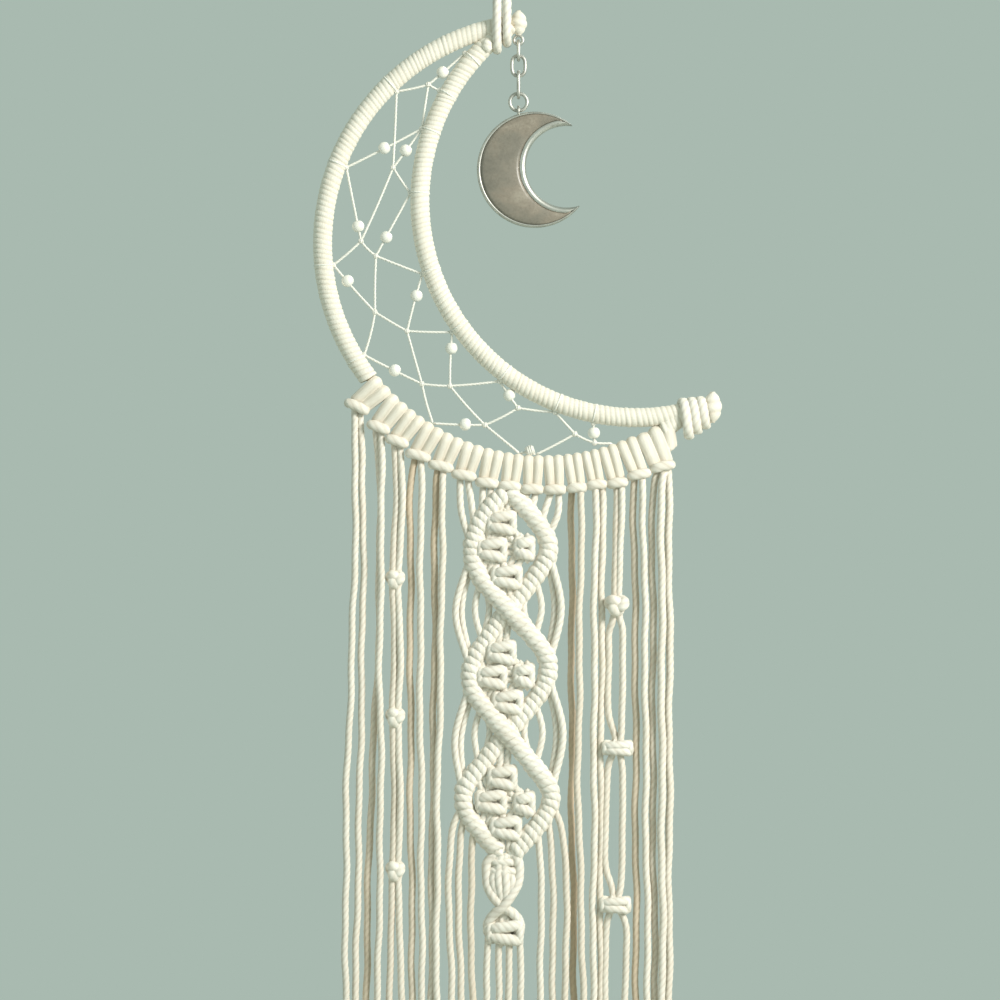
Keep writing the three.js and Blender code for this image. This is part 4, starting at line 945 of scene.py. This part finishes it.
endCords = [
    [(-2.4, -1.4, -424.0), (-7.0, -1.4, -428.4), (-7.3, -1.6, -434.0), (-6.8, -2.2, -439.0),
     (-3.9, -3.0, -444.4),
     (0.6, -3.2, -448.6), (5.0, -2.6, -451.6), (7.6, -1.6, -456.0), (7.2, -1.0, -462.0)],
    [(4.2, -1.4, -424.0), (7.0, -1.4, -428.4), (7.2, -1.6, -434.0), (6.4, -2.6, -438.4), (3.2, -4.0, -443.9),
     (-0.4, -4.2, -448.4), (-4.2, -3.0, -451.6), (-6.8, -1.8, -456.2), (-6.4, -1.0, -462.0)],
    [(-2.4, -1.4, -424.0), (-2.9, -1.6, -431.0), (-4.6, -2.6, -436.4), (-2.9, -2.4, -442.4),
     (-0.8, -0.4, -449.0),
     (-2.4, 0.6, -457.0)],
    [(-0.4, -1.6, -424.0), (-1.9, -2.4, -431.0), (-2.0, -3.4, -437.0), (-1.0, -3.0, -443.0),
     (0.0, -1.4, -449.0),
     (-0.6, 0.4, -457.0)],
    [(1.4, -1.4, -424.0), (0.6, -2.4, -431.0), (1.3, -3.6, -437.0), (1.1, -3.2, -443.0), (0.4, -1.4, -449.0),
     (1.8, 0.4, -457.0)],
    [(2.8, -1.4, -424.0), (1.2, -1.2, -431.5), (4.2, -2.6, -436.4), (2.9, -2.6, -442.4), (1.2, -0.4, -449.0),
     (3.4, 0.6, -457.0)],
]
funnel = {  # turns of cord close the back, by height and reach; the knot below them is x, z, width and height
    "turns": ((-428.2, 5.6), (-432.3, 6.6), (-436.4, 6.4), (-440.2, 5.0), (-443.8, 3.2)), "depth": 2.8,
    "radius": 2.1,
    "outerCord": 2.35, "innerCord": 2.2, "knot": (0.7, -459.8, 17.6, 13.0),
}
for order, points in enumerate(endCords):
    radius = funnel["outerCord"] if order < 2 else funnel["innerCord"]
    panelParts.append(cordPart(smoothPath(points), radius=radius, tone=0.02, start=rng.uniform(0, 6),
                               depth=0.05))
phi = fullTurn(40)[:, None]
for z, reach in funnel["turns"]:
    turn = array([-0.1, 0.2, z]) + reach * cos(phi) * rightAxis - funnel["depth"] * sin(phi) * depthAxis
    panelParts.append(cordPart(evenRing(turn, 1.5), radius=funnel["radius"], across=upAxis, ring=True,
                               lay=8.0))
panelParts += squareKnot(*funnel["knot"], panel["knotRadius"])
for (x, z), (xBend, xLow), y, end, tanAndShade in panelEnds:
    depth = panel["y"] + y
    route = [[x, panel["y"], z], [xBend, depth, z - 22], [xLow, depth, -500], [xLow, depth, strandEnd + end]]
    panelParts.append(hangingCord(route, tanAndShade))
makePiece("macramePanel", panelParts, cotton, ["macrame_panel"])
print("panel made")

# The chain: each link's width and height, the top of its bow, the way it faces and the body it moves with

links = {
    "chain_link_top": (4.6, 8.5, -58.96, "side", "top_link"),
    "chain_link_face": (6.0, 9.2, -65.56, "front", "lower_links"),
    "chain_link_low": (4.6, 11.6, -72.86, "side", "lower_links"),
    "chain_ring": (7.8, 7.8, -82.56, "front", "charm"),
}


def linkPart(width, tall, topZ, facing):
    # An oval of wire: a circle pulled apart along its height
    turn = fullTurn(56)
    u = width / 2 * cos(turn)
    z = topZ - tall / 2 + width / 2 * sin(turn) + (tall - width) / 2 * np.tanh(3 * sin(turn))
    flat, normal = (rightAxis, depthAxis) if facing == "front" else (depthAxis, rightAxis)
    path = rightAxis * chainLine["x"] + u[:, None] * flat + z[:, None] * upAxis
    return wireRing(path, chainLine["wire"], normal, 12)


for node, (width, tall, topZ, facing, body) in links.items():
    name = "".join(word.capitalize() if order else word for order, word in enumerate(node.split("_")))
    makePiece(name, [linkPart(width, tall, topZ, facing)], silver, [node], body)

# The crescent charm: a bevelled setting with a polished stone let into it

charm = {
    "outerRadius": 26.0, "innerRadius": 18.5, "shiftX": 14.4, "shiftZ": 1.4, "halfDepth": 2.1,
    "outerRim": 1.5, "innerRim": 2.8, "floor": 0.4, "bevel": 0.7, "lip": 0.3, "dome": 0.7, "gap": 0.1,
    "middle": (14.3, -0.25, -116.95), "eye": (7.0, 0.0, -90.5),
}


def charmSurfaces():
    # Rows lead from one horn to the other. In each, the setting's profile and the stone's run between the two
    # arcs,
    # at shares of the way from the outer arc to the inner one
    outer, inner = (0.0, 0.0, charm["outerRadius"]), (charm["shiftX"], charm["shiftZ"], charm["innerRadius"])
    o0, o1 = crossingAngles(outer, inner)
    lowerCrossing, upperCrossing = crossingAngles(inner, outer)
    u = linspace(0.003, 0.997, 96)
    outside = onCircle(outer, o0 + (o1 - o0) * u)
    inside = onCircle(inner, upperCrossing - 360 + (lowerCrossing - upperCrossing + 360) * u)
    width = np.linalg.norm(inside - outside, axis=1)
    h, b, lip, middle = charm["halfDepth"], charm["bevel"], charm["lip"], array(charm["middle"])

    def across(offset, fromInner=False):  # share of the width at a distance in from one of the two arcs
        share = minimum(offset / width, 0.47)
        return 1 - share if fromInner else share

    outerRim, innerRim, floor = charm["outerRim"], charm["innerRim"], charm["floor"]
    profile = [(across(0), h - lip), (across(0), -h + b), (across(b), -h), (across(outerRim - lip), -h),
               (across(outerRim), -h + lip), (across(outerRim), floor), (across(innerRim, True), floor),
               (across(innerRim, True), -h + lip), (across(innerRim - lip, True), -h),
               (across(b * 1.6, True), -h),
               (across(0, True), -h + b * 1.3), (across(0, True), h - lip), (across(lip, True), h),
               (across(lip), h)]
    points = stack([outside + (inside - outside) * share[:, None] + depthAxis * y for share, y in profile],
                   axis=1)
    setting = gridPart(points + middle, uSize=10.0)
    v = linspace(0, 1, 13)
    low = minimum((outerRim + charm["gap"]) / width, 0.46)
    high = 1 - minimum((innerRim + charm["gap"]) / width, 0.46)
    share = low[:, None] + (high - low)[:, None] * v[None, :]
    dome = -h - charm["dome"] * sin(pi * v[None, :]) ** 0.6 * minimum(width / 14, 1)[:, None] + 0.25
    span = outside[:, None] + (inside - outside)[:, None] * share[..., None]
    top = span + depthAxis * dome[..., None]
    foot = span[:, ::-1] + depthAxis * (floor - charm["gap"])
    # it ends short of the horns
    inlay = gridPart(concatenate([top, foot], axis=1)[5:-5] + middle, uSize=20.0)
    return setting, inlay


setting, inlay = charmSurfaces()
charmEye = metalEye(array(charm["eye"]), depthAxis)
makePiece("charmSetting", [setting, charmEye], silver, ["charm_bezel"], "charm")
makePiece("charmStone", [inlay], stone, ["charm_stone"], "charm")
print("chain and charm made")

# Floor and sky

room = {
    "floorZ": -0.72, "reach": 1.1, "corners": 72, "floor": "#c3c9c1", "speckle": "#b9bfb7", "sky": "#a9bab0",
    "skyStrength": 1.0,
}

turn = fullTurn(room["corners"])
rim = stack([room["reach"] * cos(turn), room["reach"] * sin(turn), 0 * turn + room["floorZ"]], 1)
floorMesh = bpy.data.meshes.new("floor")
floorMesh.from_pydata(rim.tolist(), [], [list(range(room["corners"]))])
floorMaterial, floorTree = newMaterial("palePaintedFloor")
speckle = addNode(floorTree, "ShaderNodeTexNoise", {"Scale": 6.0, "Detail": 2.0}).outputs[0]
floorColour = mixColour(floorTree, speckle, linear(room["floor"]), linear(room["speckle"]))
addSurface(floorTree, {"Base Color": floorColour, "Roughness": 0.9, "Specular IOR Level": 0.1})
floorMesh.materials.append(floorMaterial)
floor = bpy.data.objects.new("floor", floorMesh)
bpy.context.collection.objects.link(floor)

world = bpy.data.worlds.new("paleRoom")
world.use_nodes = True
world.node_tree.nodes["Background"].inputs["Color"].default_value = linear(room["sky"])
world.node_tree.nodes["Background"].inputs["Strength"].default_value = room["skyStrength"]
bpy.context.scene.world = world

print("scene made")
